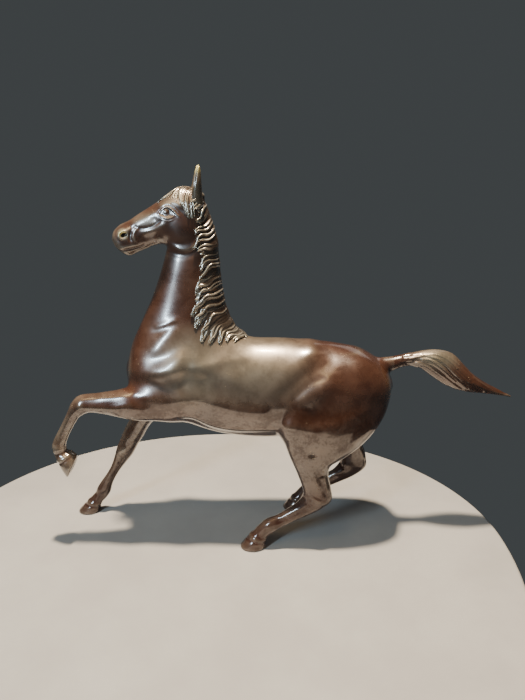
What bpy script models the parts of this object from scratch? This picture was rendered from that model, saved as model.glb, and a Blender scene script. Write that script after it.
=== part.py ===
"""Bronze statuette of a prancing horse, built the way a foundry assembles one.

The hollow torso, neck and head are shell castings that plug into each other with spigots. The legs
and the tail are solid castings held by dowel pins and a threaded stud. The ears, mane and forelock
are small castings brazed on, and turned plugs close the holes that the core pins left.

Every casting is a loft through cross-sections. A section is an ellipse in a plane that contains the
Y direction. It is given by two opposite points of the outline in side view, the distance of its
centre from the horse's median plane, and its half width. The horse faces -X, its left side is -Y
and the floor is Z = 0.
"""

import math

import bmesh
import bpy
from mathutils import Vector
from mathutils.bvhtree import BVHTree

# Driving dimensions, in millimetres.
MM = 0.001
ORIGIN_X = 19.0  # the tables' X of the middle of the overall length
WALL = 3.5
GAP = 0.3
SPIGOT_LENGTH = 6.0
SPIGOT_WALL = 2.2
STEPS = 2  # sections made from each span of a table
HAIR_THICKNESS = 4.0
PIN_RADIUS = 3.0
PIN_LENGTH = 20.0
STUD_RADIUS = 3.0
STUD_LENGTH = 36.0
EAR_PEG_RADIUS = 1.8
EAR_PEG_LENGTH = 13.0

# Sections from front to rear or from top to bottom:
# (outline point X, Z, opposite outline point X, Z, centre Y, half width).
BARREL = (
    (-127.0, 184, -127.5, 166, 0, 9),
    (-121.0, 197, -124, 151, 0, 19),
    (-108, 208, -112, 140, 0, 27),
    (-90, 213, -95, 131, 0, 32),
    (-65, 213, -72, 122.5, 0, 34),
    (-35, 210, -45, 113, 0, 35),
    (-8, 207, -15, 108.5, 0, 36),
    (20, 206.5, 15, 108, 0, 36.5),
    (45, 204.5, 42, 112, 0, 36),
    (68, 200, 68, 121, 0, 34.5),
    (90, 193, 93, 131, 0, 31.5),
    (107, 185, 110, 141, 0, 25),
    (117.5, 176, 118.5, 151, 0, 16),
    (121.5, 168, 121.8, 158, 0, 6),
)
NECK = (
    (-126, 183, -14, 196, 0, 31),
    (-121.5, 203, -21, 206, 0, 27),
    (-110.5, 228, -29.5, 225, 0, 22),
    (-102, 245, -34, 241, 0, 19),
    (-95, 262, -37, 258, 0, 17),
    (-90, 276, -38.5, 274, 0, 15.8),
    (-87.5, 284, -39.5, 290, 0, 15),
    (-84, 294, -42, 306, 0, 14.5),
    (-78, 310, -47, 322, 0, 13),
    (-74, 322, -53, 333, 0, 11),
)
HEAD = (
    (-55, 339, -50, 312, 0, 12),
    (-62, 342, -51.5, 303, 0, 14.5),
    (-70.5, 342, -56, 294.5, 0, 15.5),
    (-80.5, 337.8, -65.5, 291, 0, 15.8),
    (-89.3, 332.8, -78, 293, 0, 15),
    (-98, 327.5, -89, 294.5, 0, 12.5),
    (-107, 321.5, -97, 292.5, 0, 10.3),
    (-116, 315.5, -105, 289, 0, 9.4),
    (-125, 311.5, -112.5, 285.5, 0, 9.8),
    (-131.5, 306, -120, 283.5, 0, 9.8),
    (-133.5, 299.5, -126.5, 287, 0, 6.5),
)
HIND_LEG = (
    (34, 176, 110, 168, -15, 17),
    (19, 146, 117, 146, -17.5, 19.5),
    (16.5, 128, 110, 127, -21, 19),
    (20.5, 112, 95, 109, -25, 17.3),
    (25, 99, 79, 97, -27.5, 15),
    (29, 90, 67.5, 91, -29, 13.3),
    (33, 81, 63, 84, -30, 12),
    (37, 70.5, 65, 74, -31, 10.5),
    (39.5, 62, 67, 63, -31.5, 9.8),
    (38, 56, 66.5, 52, -32, 9.2),
    (32.5, 48.5, 55, 42, -32, 7.3),
    (26.5, 44, 36.5, 32, -32.5, 6),
    (14.5, 36, 22, 24.5, -33, 5.6),
    (3.5, 31, 13, 18.5, -33, 6.9),
    (-4, 24, 6.5, 13.5, -33, 6.6),
    (-8.5, 18.5, 5, 11, -33, 7),
    (-13.5, 13, 4, 8.5, -33, 8.5),
    (-18, 7, 3.8, 4.5, -33, 9.6),
    (-23, 0, 3, 0, -33, 10.5),
)
# How much further back the right hind leg stands, section by section from the thigh to the hock.
RIGHT_HIND_SETBACK = (0, 4, 9, 17, 28, 36, 41, 45)
RAISED_LEG = (
    (-88, 176, -62, 146, -15, 16),
    (-104, 171, -84, 134.5, -18, 16),
    (-116, 167, -101, 132.5, -20, 15),
    (-126, 165, -117, 133.5, -22, 13.5),
    (-137, 162.5, -130, 136.5, -23, 11),
    (-149, 161, -144, 140, -23.5, 9),
    (-160, 160.5, -157, 142.5, -24, 8.2),
    (-170.5, 158.5, -163, 142, -24, 8.4),
    (-177.5, 151.5, -168, 139.5, -24, 7.4),
    (-182.5, 141.8, -172.8, 135.5, -24, 5.6),
    (-190.5, 127.2, -181.5, 121.8, -24, 4.7),
    (-197.3, 115.5, -187, 109.8, -24, 5.1),
    (-200.8, 106.8, -187.3, 104.6, -24, 6.4),
    (-199.5, 99, -186.5, 102, -24, 5.9),
    (-197.5, 93.5, -182.8, 100.5, -24, 7.8),
    (-194.5, 84.5, -180.2, 98.5, -24, 9.2),
    (-189, 73, -178.3, 95.8, -24, 10),
)
STANDING_LEG = (
    (-108, 168, -76, 146, 17, 15),
    (-117, 152, -93, 139, 19.5, 14),
    (-127.5, 130.5, -107, 118.5, 22, 11.5),
    (-136, 115, -118, 105, 23.5, 9.7),
    (-143, 103, -125, 93, 24.5, 9),
    (-148.8, 90.6, -132.2, 81.4, 25, 8.5),
    (-153.8, 79.8, -138, 71, 25.5, 8.4),
    (-157.6, 68.3, -145.4, 61.7, 26, 6.5),
    (-162, 57, -153, 52, 26, 4.9),
    (-167.8, 46.9, -159.2, 42.1, 26.5, 4.7),
    (-173.6, 38.8, -163.4, 33.2, 27, 5.2),
    (-179.6, 30, -166.3, 24, 27, 6.4),
    (-182.3, 23.6, -170.8, 17.3, 27, 6),
    (-186.5, 18.6, -175.5, 12.5, 27, 6.4),
    (-192, 13, -177.8, 8.5, 27, 8),
    (-198, 6.5, -179, 4.3, 27, 9.3),
    (-204, 0, -180, 0, 27, 10.2),
)
TAIL = (
    (104, 184, 103, 166, 0, 9),
    (112, 188, 112, 170, 0, 8.5),
    (124, 189.5, 124.5, 174.5, 0, 7),
    (136, 192.5, 137, 179.5, 0, 6.3),
    (150, 196, 149, 177, 0, 7.5),
    (164, 197, 156, 172.5, 0, 8.8),
    (180, 193, 169, 163, 0, 9.6),
    (192, 182, 181, 156.5, 0, 9),
    (202, 172.5, 195, 153, 0, 7.4),
    (214, 164.5, 210, 151.5, 0, 5.2),
    (228, 156.5, 226, 149.5, 0, 3),
    (242, 148.5, 241.5, 147, 0, 0.8),
)
LEFT_EAR = (
    (-63, 334, -51, 330, -8, 4.6),
    (-61.5, 344, -51, 342, -9, 4.5),
    (-58, 352, -51, 351.5, -9.5, 3.3),
    (-54.8, 358, -52.2, 358.2, -9.5, 1.2),
)
# What bounds the mane on the neck.
MANE_REGION = (
    (-58, 341, -44, 347, -8, 9),
    (-57, 322, -32, 330, -12, 15),
    (-55, 300, -24, 301, -13, 17),
    (-60, 270, -22, 268, -14, 19),
    (-66, 245, -18, 240, -16, 22),
    (-66, 227, -12, 221, -17, 24),
    (-54, 211, -7, 211, -15, 22),
    (-36, 203, -4, 203, -11, 18),
)
FORELOCK = (
    (-53, 344.5, -55, 338, -1, 2.5),
    (-61, 347, -61, 336, -2, 6),
    (-73, 346, -69, 333.5, -4, 8),
    (-85, 340, -80, 327, -6, 7.5),
    (-94, 333.5, -90, 322, -8, 4.5),
    (-99, 328.3, -97.5, 322.5, -9, 1.2),
)

# Where each casting ends, as the index of a table's own section.
NECK_SEAM, HEAD_SEAM = 2, 5
HIND_SEAM, RAISED_SEAM, STANDING_SEAM, TAIL_SEAM = 5, 4, 2, 2
THIGH_HOLLOW = 3.5  # how far down the hind leg's table the body's hollow reaches

# Turned plugs: (name, casting it closes, a point outside it, direction to its axis, radius, length).
PLUGS = (
    ("belly_front_plug", "torso_shell", (-38, 0, 90), (0.12, 0, 1), 3.0, 4.5),
    ("belly_rear_plug", "torso_shell", (26, 0, 90), (-0.06, 0, 1), 3.0, 4.5),
    ("left_thigh_plug", "torso_shell", (47, -60, 105), (0, 1, 0), 3.4, 4.0),
)
PLUG_DEPTH = 0.15  # how far a plug's end sits below the casting's skin


def clear_scene():
    for obj in list(bpy.data.objects):
        bpy.data.objects.remove(obj)


def make_material(name, colour, roughness):
    material = bpy.data.materials.new(name)
    material.use_nodes = True
    shader = material.node_tree.nodes["Principled BSDF"]
    shader.inputs["Base Color"].default_value = (*colour, 1)
    shader.inputs["Metallic"].default_value = 1.0
    shader.inputs["Roughness"].default_value = roughness
    return material


def spline(before, start, end, after, t):
    """Catmull-Rom value between start and end."""
    slope_in = (end - before) / 2
    slope_out = (after - start) / 2
    t2, t3 = t * t, t * t * t
    return (
        start * (2 * t3 - 3 * t2 + 1)
        + slope_in * (t3 - 2 * t2 + t)
        + end * (3 * t2 - 2 * t3)
        + slope_out * (t3 - t2)
    )


def finer(table):
    """The table with STEPS sections for each span, on a smooth curve through its own."""
    dense = []
    for i in range(len(table) - 1):
        four = (table[max(i - 1, 0)], table[i], table[i + 1], table[min(i + 2, len(table) - 1)])
        for step in range(STEPS):
            dense.append(tuple(spline(*values, step / STEPS) for values in zip(*four)))
    dense.append(tuple(float(value) for value in table[-1]))
    return dense


def middle(section):
    ax, az, bx, bz, y, _ = section
    return Vector(((ax + bx) / 2, y, (az + bz) / 2))


def moved(section, way):
    ax, az, bx, bz, y, width = section
    return (ax + way.x, az + way.z, bx + way.x, bz + way.z, y + way.y, width)


def grown(table, amount):
    """The sections enlarged all round, or made smaller where the amount is negative."""
    found = []
    for ax, az, bx, bz, y, width in table:
        across = Vector((bx - ax, 0, bz - az))
        out = across.normalized() * max(amount, 0.4 - across.length / 2)
        wider = max(width + amount, 0.4)
        found.append((ax - out.x, az - out.z, bx + out.x, bz + out.z, y, wider))
    return found


def mirrored(table):
    return [(ax, az, bx, bz, -y, width) for ax, az, bx, bz, y, width in table]


def split(table, seam):
    """The dense sections on each side of a seam, with the joint's gap between the two."""
    dense = finer(table)
    at = seam * STEPS
    way = (middle(dense[at + 1]) - middle(dense[at])).normalized() * GAP
    return dense[: at + 1], [moved(dense[at], way)] + dense[at + 1 :]


def mesh_object(name, corners, faces):
    mesh = bpy.data.meshes.new(name)
    mesh.from_pydata([point * MM for point in corners], [], faces)
    shape = bmesh.new()
    shape.from_mesh(mesh)
    bmesh.ops.recalc_face_normals(shape, faces=shape.faces)
    shape.to_mesh(mesh)
    shape.free()
    obj = bpy.data.objects.new(name, mesh)
    bpy.context.scene.collection.objects.link(obj)
    return obj


def loft(name, sections, sides):
    """A closed skin through the elliptical sections."""
    corners = []
    for section in sections:
        ax, az, bx, bz, _, width = section
        half = Vector((ax - bx, 0, az - bz)) / 2
        for i in range(sides):
            turn = 2 * math.pi * (i + 0.5) / sides
            spread = Vector((0, width * math.sin(turn), 0))
            corners.append(middle(section) + half * math.cos(turn) + spread - Vector((ORIGIN_X, 0, 0)))
    faces = [tuple(range(sides)), tuple(range(len(corners) - sides, len(corners)))]
    for ring in range(0, len(corners) - sides, sides):
        for i in range(sides):
            j = (i + 1) % sides
            faces.append((ring + i, ring + j, ring + sides + j, ring + sides + i))
    return mesh_object(name, corners, faces)


def rod(name, centre, way, radius, length, sides=20):
    """A cylinder about a centre, along a direction."""
    way = Vector(way).normalized()
    side = way.orthogonal().normalized()
    up = way.cross(side)
    corners = []
    for end in (-0.5, 0.5):
        for i in range(sides):
            turn = 2 * math.pi * i / sides
            out = side * math.cos(turn) + up * math.sin(turn)
            corners.append(centre + way * (end * length) + out * radius - Vector((ORIGIN_X, 0, 0)))
    faces = [tuple(range(sides)), tuple(range(sides, 2 * sides))]
    for i in range(sides):
        j = (i + 1) % sides
        faces.append((i, j, sides + j, sides + i))
    return mesh_object(name, corners, faces)


def combine(obj, other, operation):
    """Applies a Boolean to obj and removes the other object."""
    modifier = obj.modifiers.new(operation.lower(), "BOOLEAN")
    modifier.operation = operation
    modifier.solver = "EXACT"
    modifier.object = other
    graph = bpy.context.evaluated_depsgraph_get()
    obj.data = bpy.data.meshes.new_from_object(obj.evaluated_get(graph))
    obj.modifiers.clear()
    bpy.data.objects.remove(other)


def join(obj, other):
    combine(obj, other, "UNION")


def cut(obj, other):
    combine(obj, other, "DIFFERENCE")


def finish(obj, material, sharp_angle=40):
    obj.data.materials.clear()
    obj.data.materials.append(material)
    obj.data.shade_smooth()
    obj.data.set_sharp_from_angle(angle=math.radians(sharp_angle))


def pin_at_seam(name, inner, outer, castings, radius, length):
    """A dowel along a limb through its seam, and its hole in the castings on both sides."""
    way = middle(outer[1]) - middle(inner[-2])
    centre = (middle(inner[-1]) + middle(outer[0])) / 2
    for casting in castings:
        cut(casting, rod("pin_hole", centre, way, radius + GAP, length + 2 * GAP))
    return rod(name, centre, way, radius, length)


def shifted_back(table):
    """The hind leg's table with the right leg's setback, mirrored to the right side."""
    found = []
    for i, (ax, az, bx, bz, y, width) in enumerate(table):
        back = RIGHT_HIND_SETBACK[min(i, len(RIGHT_HIND_SETBACK) - 1)]
        found.append((ax + back, az, bx + back, bz, y, width))
    return mirrored(found)


def make_spigot(inner, name):
    """The collar that a shell pushes into the one before it: sections near that shell's end."""
    end = inner[-1]
    way = (middle(inner[-1]) - middle(inner[-2])).normalized()
    reach = [moved(end, way * along) for along in (-SPIGOT_LENGTH, GAP + 2)]
    return loft(name, grown(reach, -(WALL + GAP)), 24)


def build_torso(legs, tail_root):
    """The body shell, with the solid roots that the legs and the tail are pinned to."""
    torso = loft("torso_shell", finer(BARREL), 26)
    for root, _ in legs.values():
        join(torso, loft("leg_root", root, 20))
    join(torso, loft("tail_root", tail_root, 16))
    neck_root, _ = split(NECK, NECK_SEAM)
    join(torso, loft("neck_root", neck_root, 24))
    hollow = loft("hollow", grown(BARREL[2:-2], -WALL), 18)
    for name in ("left_hind_leg", "right_hind_leg"):
        thigh = legs[name][0][: int(THIGH_HOLLOW * STEPS) + 1]
        join(hollow, loft("thigh", grown(thigh, -WALL), 14))
    way = (middle(neck_root[-1]) - middle(neck_root[-2])).normalized()
    throat = neck_root[:-1:STEPS] + [moved(neck_root[-1], way * 3)]
    join(hollow, loft("throat", grown(throat, -WALL), 24))
    cut(torso, hollow)
    return torso


def build_neck():
    torso_side, beyond = split(NECK, NECK_SEAM)
    count = (HEAD_SEAM - NECK_SEAM) * STEPS + 1
    sections = beyond[:count]
    neck = loft("neck_shell", sections, 24)
    join(neck, make_spigot(torso_side, "spigot"))
    down = (middle(torso_side[-1]) - middle(torso_side[-2])).normalized()
    up = (middle(sections[-1]) - middle(sections[-2])).normalized()
    through = (
        [moved(torso_side[-1], down * -(SPIGOT_LENGTH + 3))]
        + sections
        + [moved(sections[-1], up * 3)]
    )
    cut(neck, loft("bore", grown(through, -(WALL + GAP + SPIGOT_WALL)), 24))
    raised = [moved(sections[1], Vector((0, 0, 2)))] + through[3:]
    cut(neck, loft("hollow", grown(raised, -WALL), 24))
    return neck


def build_head():
    neck_side, upper = split(NECK, HEAD_SEAM)
    head = loft("head_shell", finer(HEAD), 20)
    join(head, loft("throat", upper, 24))
    join(head, make_spigot(neck_side, "spigot"))
    down = (middle(neck_side[-1]) - middle(neck_side[-2])).normalized()
    through = [moved(neck_side[-1], down * -(SPIGOT_LENGTH + 3))] + upper[:-2]
    hollow = loft("bore", grown(through, -(WALL + GAP + SPIGOT_WALL)), 24)
    join(hollow, loft("skull", grown(finer(HEAD)[3:-8], -(WALL + 1)), 20))
    cut(head, hollow)
    return head


def build_mane():
    """A skin of hair over the crest and the left side of the neck."""
    crest = finer(NECK)[1:]
    crest.append(moved(crest[-1], Vector((0.4, 0, 1))))
    mane = loft("mane", grown(crest, HAIR_THICKNESS), 24)
    combine(mane, loft("region", finer(MANE_REGION), 20), "INTERSECT")
    cut(mane, loft("neck", grown(finer(NECK), GAP), 24))
    cut(mane, loft("head", grown(finer(HEAD), GAP), 20))
    cut(mane, loft("barrel", grown(finer(BARREL), GAP), 28))
    return mane


def build_forelock():
    forelock = loft("forelock", finer(FORELOCK), 16)
    cut(forelock, loft("head", grown(finer(HEAD), GAP), 20))
    cut(forelock, loft("neck", grown(finer(NECK), GAP), 24))
    return forelock


def build_ear(name, table, head, hair):
    """An ear with its scooped front, on a peg that sits in a hole in the head."""
    side = math.copysign(1, table[0][4])
    ear = loft(name, finer(table), 14)
    base = middle(table[0])
    way = (middle(table[2]) - base).normalized()
    scoop = [moved(section, Vector((-3.2, side * 1.5, 1.5))) for section in table[1:]]
    cut(ear, loft("scoop", grown(finer(scoop), -1.2), 12))
    cut(ear, loft("skull", grown(finer(HEAD), GAP), 20))
    cut(ear, loft("neck", grown(finer(NECK), GAP), 24))
    cut(head, rod("peg_hole", base, way, EAR_PEG_RADIUS + GAP, EAR_PEG_LENGTH + 2 * GAP, 14))
    join(ear, rod("peg", base, way, EAR_PEG_RADIUS, EAR_PEG_LENGTH, 14))
    for lock in hair:
        cut(lock, loft("ear_room", grown(finer(table), GAP), 14))
    return ear


def build_plug(name, casting, outside, inward, radius, length):
    """A turned plug with its outer end just below the skin, and its hole."""
    way = Vector(inward).normalized()
    start = Vector(outside) - Vector((ORIGIN_X, 0, 0))
    shape = bmesh.new()
    shape.from_mesh(casting.data)
    skin = BVHTree.FromBMesh(shape).ray_cast(start * MM, way)[0] / MM
    shape.free()
    centre = skin + way * (PLUG_DEPTH + length / 2) + Vector((ORIGIN_X, 0, 0))
    cut(casting, rod("plug_hole", centre - way, way, radius + GAP, length + 2 + 2 * GAP))
    return rod(name, centre, way, radius, length)


def main():
    clear_scene()
    bronze = make_material("bronze_patina", (0.13, 0.055, 0.032), 0.32)
    chased = make_material("bronze_hair", (0.16, 0.075, 0.045), 0.4)
    brass = make_material("brass_fitting", (0.6, 0.42, 0.18), 0.3)
    steel = make_material("steel_stud", (0.5, 0.5, 0.5), 0.35)

    legs = {
        "left_hind_leg": split(HIND_LEG, HIND_SEAM),
        "right_hind_leg": split(shifted_back(HIND_LEG), HIND_SEAM),
        "left_front_leg": split(RAISED_LEG, RAISED_SEAM),
        "right_front_leg": split(STANDING_LEG, STANDING_SEAM),
    }
    tail_root, tail_free = split(TAIL, TAIL_SEAM)
    torso = build_torso(legs, tail_root)
    castings = {"torso_shell": torso, "neck_shell": build_neck(), "head_shell": build_head()}
    fittings = []
    for name, (root, free) in legs.items():
        leg = loft(name, free, 16)
        castings[name] = leg
        fittings.append(pin_at_seam(name + "_pin", root, free, (torso, leg), PIN_RADIUS, PIN_LENGTH))
    castings["tail"] = loft("tail", tail_free, 16)
    ends = (torso, castings["tail"])
    stud = pin_at_seam("tail_stud", tail_root, tail_free, ends, STUD_RADIUS, STUD_LENGTH)

    mane, forelock = build_mane(), build_forelock()
    for name, table in (("left_ear", LEFT_EAR), ("right_ear", mirrored(LEFT_EAR))):
        castings[name] = build_ear(name, table, castings["head_shell"], (mane, forelock))
    for name, casting, *place in PLUGS:
        fittings.append(build_plug(name, castings[casting], *place))

    for casting in castings.values():
        finish(casting, bronze)
    for hair in (mane, forelock, castings["tail"]):
        finish(hair, chased)
    for fitting in fittings:
        finish(fitting, brass)
    finish(stud, steel)


main()
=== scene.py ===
"""The looks of the bronze horse: sculpted castings, chased hair, patina, floor, light and camera.

Each casting is sculpted as a field of distances on a regular grid, in millimetres: lofts through
elliptical sections, ellipsoids and strands of hair are blended together, brush strokes raise or
press the skin, and the skin is then taken out as a mesh. The tables are in the design's own
millimetres. The horse faces -X, its left side is -Y and the floor is Z = 0.
"""

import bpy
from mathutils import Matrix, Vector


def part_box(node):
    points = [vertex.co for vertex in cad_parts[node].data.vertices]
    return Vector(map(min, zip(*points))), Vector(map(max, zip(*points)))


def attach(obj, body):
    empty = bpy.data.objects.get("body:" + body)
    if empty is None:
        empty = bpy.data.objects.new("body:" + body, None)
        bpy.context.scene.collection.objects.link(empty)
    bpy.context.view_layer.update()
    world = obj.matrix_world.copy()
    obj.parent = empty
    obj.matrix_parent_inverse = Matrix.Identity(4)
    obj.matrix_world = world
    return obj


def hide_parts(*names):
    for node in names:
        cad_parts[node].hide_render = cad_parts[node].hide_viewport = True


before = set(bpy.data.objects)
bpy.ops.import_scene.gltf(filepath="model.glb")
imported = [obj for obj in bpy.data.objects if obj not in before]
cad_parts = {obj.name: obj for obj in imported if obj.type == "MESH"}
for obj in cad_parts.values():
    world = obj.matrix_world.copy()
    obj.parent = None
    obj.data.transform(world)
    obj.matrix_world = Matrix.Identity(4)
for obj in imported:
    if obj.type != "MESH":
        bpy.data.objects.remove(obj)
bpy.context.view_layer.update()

import copy
import math

import bmesh
import bpy
import numpy as np
from mathutils import Vector

MM = 0.001
WIDEST = 48.0  # no skin lies further than this from the median plane
FAR = 30.0  # the distance that a field holds where nothing is near
LOFT_STEPS = 4  # sections that a loft has to each row of its table
LOFT_MARGIN = 13.0  # how far round a loft its distances are worked out
FRONT_X = -204.0  # the tables' X of the standing front hoof's toe
SHIFT = np.array([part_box("right_front_leg")[0].x / MM - FRONT_X, 0.0, 0.0])
SHARP_ANGLE = math.radians(50)

# Sections: outline point X, Z, opposite outline point X, Z, centre Y, half width.
BARREL = (
    (-127, 184, -127.5, 166, 0, 9),
    (-121, 197, -124, 151, 0, 19),
    (-108, 208, -112, 140, 0, 26),
    (-90, 213, -95, 131, 0, 30),
    (-65, 213, -72, 122.5, 0, 32.5),
    (-35, 210, -45, 113, 0, 34.5),
    (-8, 207, -15, 108.5, 0, 36),
    (20, 206.5, 15, 108, 0, 36.5),
    (45, 204.5, 42, 112, 0, 35),
    (68, 202.5, 68, 121, 0, 33),
    (90, 197, 93, 131, 0, 31),
    (107, 186.5, 110, 141, 0, 25),
    (117.5, 176, 118.5, 151, 0, 16),
    (121.5, 168, 121.8, 158, 0, 6),
)
NECK = (
    (-120, 183, -14, 196, 0, 29),
    (-121, 203, -21, 206, 0, 25),
    (-110, 228, -31, 225, 0, 20.5),
    (-101.5, 245, -36, 241, 0, 18),
    (-94.5, 262, -39, 258, 0, 16.3),
    (-89.5, 276, -40.5, 274, 0, 15.2),
    (-87, 284, -41.5, 290, 0, 14),
    (-84, 294, -44, 306, 0, 12.3),
    (-78, 310, -49, 322, 0, 10.4),
    (-74, 322, -54, 333, 0, 9),
)
HEAD = (
    (-56, 338, -51.5, 314, 0, 10.5),
    (-63, 341, -53, 304, 0, 13),
    (-71, 341, -57, 295.5, 0, 14.2),
    (-80.5, 337, -66, 291.5, 0, 14.6),
    (-89.3, 331.6, -78, 293, 0, 13.8),
    (-98, 326, -89, 294.2, 0, 11),
    (-107, 320.6, -97, 292.8, 0, 9.2),
    (-116, 315, -105, 289.5, 0, 8.6),
    (-125, 311, -112.5, 286.5, 0, 8.8),
    (-131, 305.5, -120, 284.5, 0, 8.4),
    (-133, 299.5, -126.5, 288, 0, 5.5),
)
HIND_LEG = (
    (34, 176, 110, 168, -14.5, 16),
    (19, 146, 116, 146, -18.5, 19.3),
    (16.5, 128, 109, 127, -22, 18.8),
    (20.5, 112, 94, 109, -24.3, 15.8),
    (25, 99, 78.5, 97, -26, 13.3),
    (29, 90, 67.5, 91, -27.5, 11.6),
    (33, 81, 63.5, 84, -28.9, 10.4),
    (37, 70.5, 64, 74, -30.4, 9.4),
    (39.3, 62, 66.5, 63, -31.2, 8.8),
    (38, 56, 66.8, 52.5, -32, 8.4),
    (32.5, 48.5, 55, 42, -32, 7.0),
    (26.5, 44, 36.5, 32, -32.5, 5.8),
    (14.5, 36, 22, 24.5, -33, 5.3),
    (3.5, 31, 13, 18.5, -33, 6.6),
    (-4, 24, 6.5, 13.5, -33, 6.2),
    (-8.5, 18.5, 5, 11, -33, 6.6),
    (-13.5, 13, 4, 8.5, -33, 8.2),
    (-18, 7, 3.8, 4.5, -33, 9.4),
    (-23, 0, 3, 0, -33, 10.3),
)
HIND_SETBACK = (0, 4, 9, 17, 28, 36, 41, 45)
RAISED_LEG = (
    (-88, 176, -62, 146, -15, 15),
    (-104, 171, -84, 134.5, -18, 15),
    (-116, 167, -101, 132.5, -20, 14),
    (-126, 165, -117, 133.5, -22, 12.8),
    (-137, 162.5, -130, 136.5, -23, 10.8),
    (-149, 161, -144, 140, -23.5, 8.8),
    (-160, 160.5, -157, 142.5, -24, 8),
    (-170.5, 158.5, -163, 142, -24, 8.2),
    (-177.5, 151.5, -168, 139.5, -24, 7.2),
    (-182.5, 141.8, -172.8, 135.5, -24, 5.4),
    (-190.5, 127.2, -181.5, 121.8, -24, 4.5),
    (-197.3, 115.5, -187, 109.8, -24, 5),
    (-200.8, 106.8, -187.3, 104.6, -24, 6.2),
    (-199.5, 99, -186.5, 102, -24, 5.7),
    (-197.5, 93.5, -182.8, 100.5, -24, 7.6),
    (-194.5, 84.5, -180.2, 98.5, -24, 9),
    (-189, 73.5, -178.3, 95.8, -24, 9.8),
)
STANDING_LEG = (
    (-108, 168, -76, 146, 17, 14),
    (-117, 152, -93, 139, 19.5, 13.5),
    (-127.5, 130.5, -107, 118.5, 22, 11),
    (-136, 115, -118, 105, 23.5, 9.4),
    (-143, 103, -125, 93, 24.5, 8.7),
    (-148.8, 90.6, -132.2, 81.4, 25, 8.2),
    (-153.8, 79.8, -138, 71, 25.5, 8.2),
    (-157.6, 68.3, -145.4, 61.7, 26, 6.3),
    (-162, 57, -153, 52, 26, 4.8),
    (-167.8, 46.9, -159.2, 42.1, 26.5, 4.6),
    (-173.6, 38.8, -163.4, 33.2, 27, 5.1),
    (-179.6, 30, -166.3, 24, 27, 6.2),
    (-182.3, 23.6, -170.8, 17.3, 27, 5.8),
    (-186.5, 18.6, -175.5, 12.5, 27, 6.2),
    (-192, 13, -177.8, 8.5, 27, 7.8),
    (-198, 6.5, -179, 4.3, 27, 9.1),
    (-204, 0, -180, 0, 27, 10),
)
TAIL = (
    (104, 184, 103, 166, 0, 8),
    (112, 187.5, 112, 170, 0, 7.5),
    (124, 189, 124.5, 175, 0, 6.3),
    (136, 192, 137, 180, 0, 5.8),
    (150, 195.5, 149, 177.5, 0, 7.8),
    (164, 196.5, 156, 173, 0, 10),
    (180, 192.5, 169, 163.5, 0, 11.5),
    (192, 181.5, 181, 157, 0, 11.2),
    (202, 172, 195, 153.5, 0, 9.6),
    (214, 164, 210, 152, 0, 7),
    (228, 156, 226, 150, 0, 4),
    (241.5, 148.7, 241, 147.3, 0, 0.9),
)


def spline(before, start, end, after, t):
    """Catmull-Rom value between start and end."""
    t2, t3 = t * t, t * t * t
    slope_in, slope_out = (end - before) / 2, (after - start) / 2
    blend_in, blend_out = t3 - 2 * t2 + t, t3 - t2
    value = start * (2 * t3 - 3 * t2 + 1) + end * (3 * t2 - 2 * t3)
    return value + slope_in * blend_in + slope_out * blend_out


def finer(table, steps=LOFT_STEPS):
    """A smooth curve through the table's rows, with that many steps to each span."""
    rows = np.array(table, float)
    found = []
    for i in range(len(rows) - 1):
        four = rows[max(i - 1, 0)], rows[i], rows[i + 1], rows[min(i + 2, len(rows) - 1)]
        for step in range(steps):
            found.append(spline(*four, step / steps))
    found.append(rows[-1])
    return np.array(found)


def blur_once(rows):
    """Evens out an array along its first axis, in place."""
    rows[1:-1] = rows[1:-1] * 0.5 + (rows[:-2] + rows[2:]) * 0.25


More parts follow.
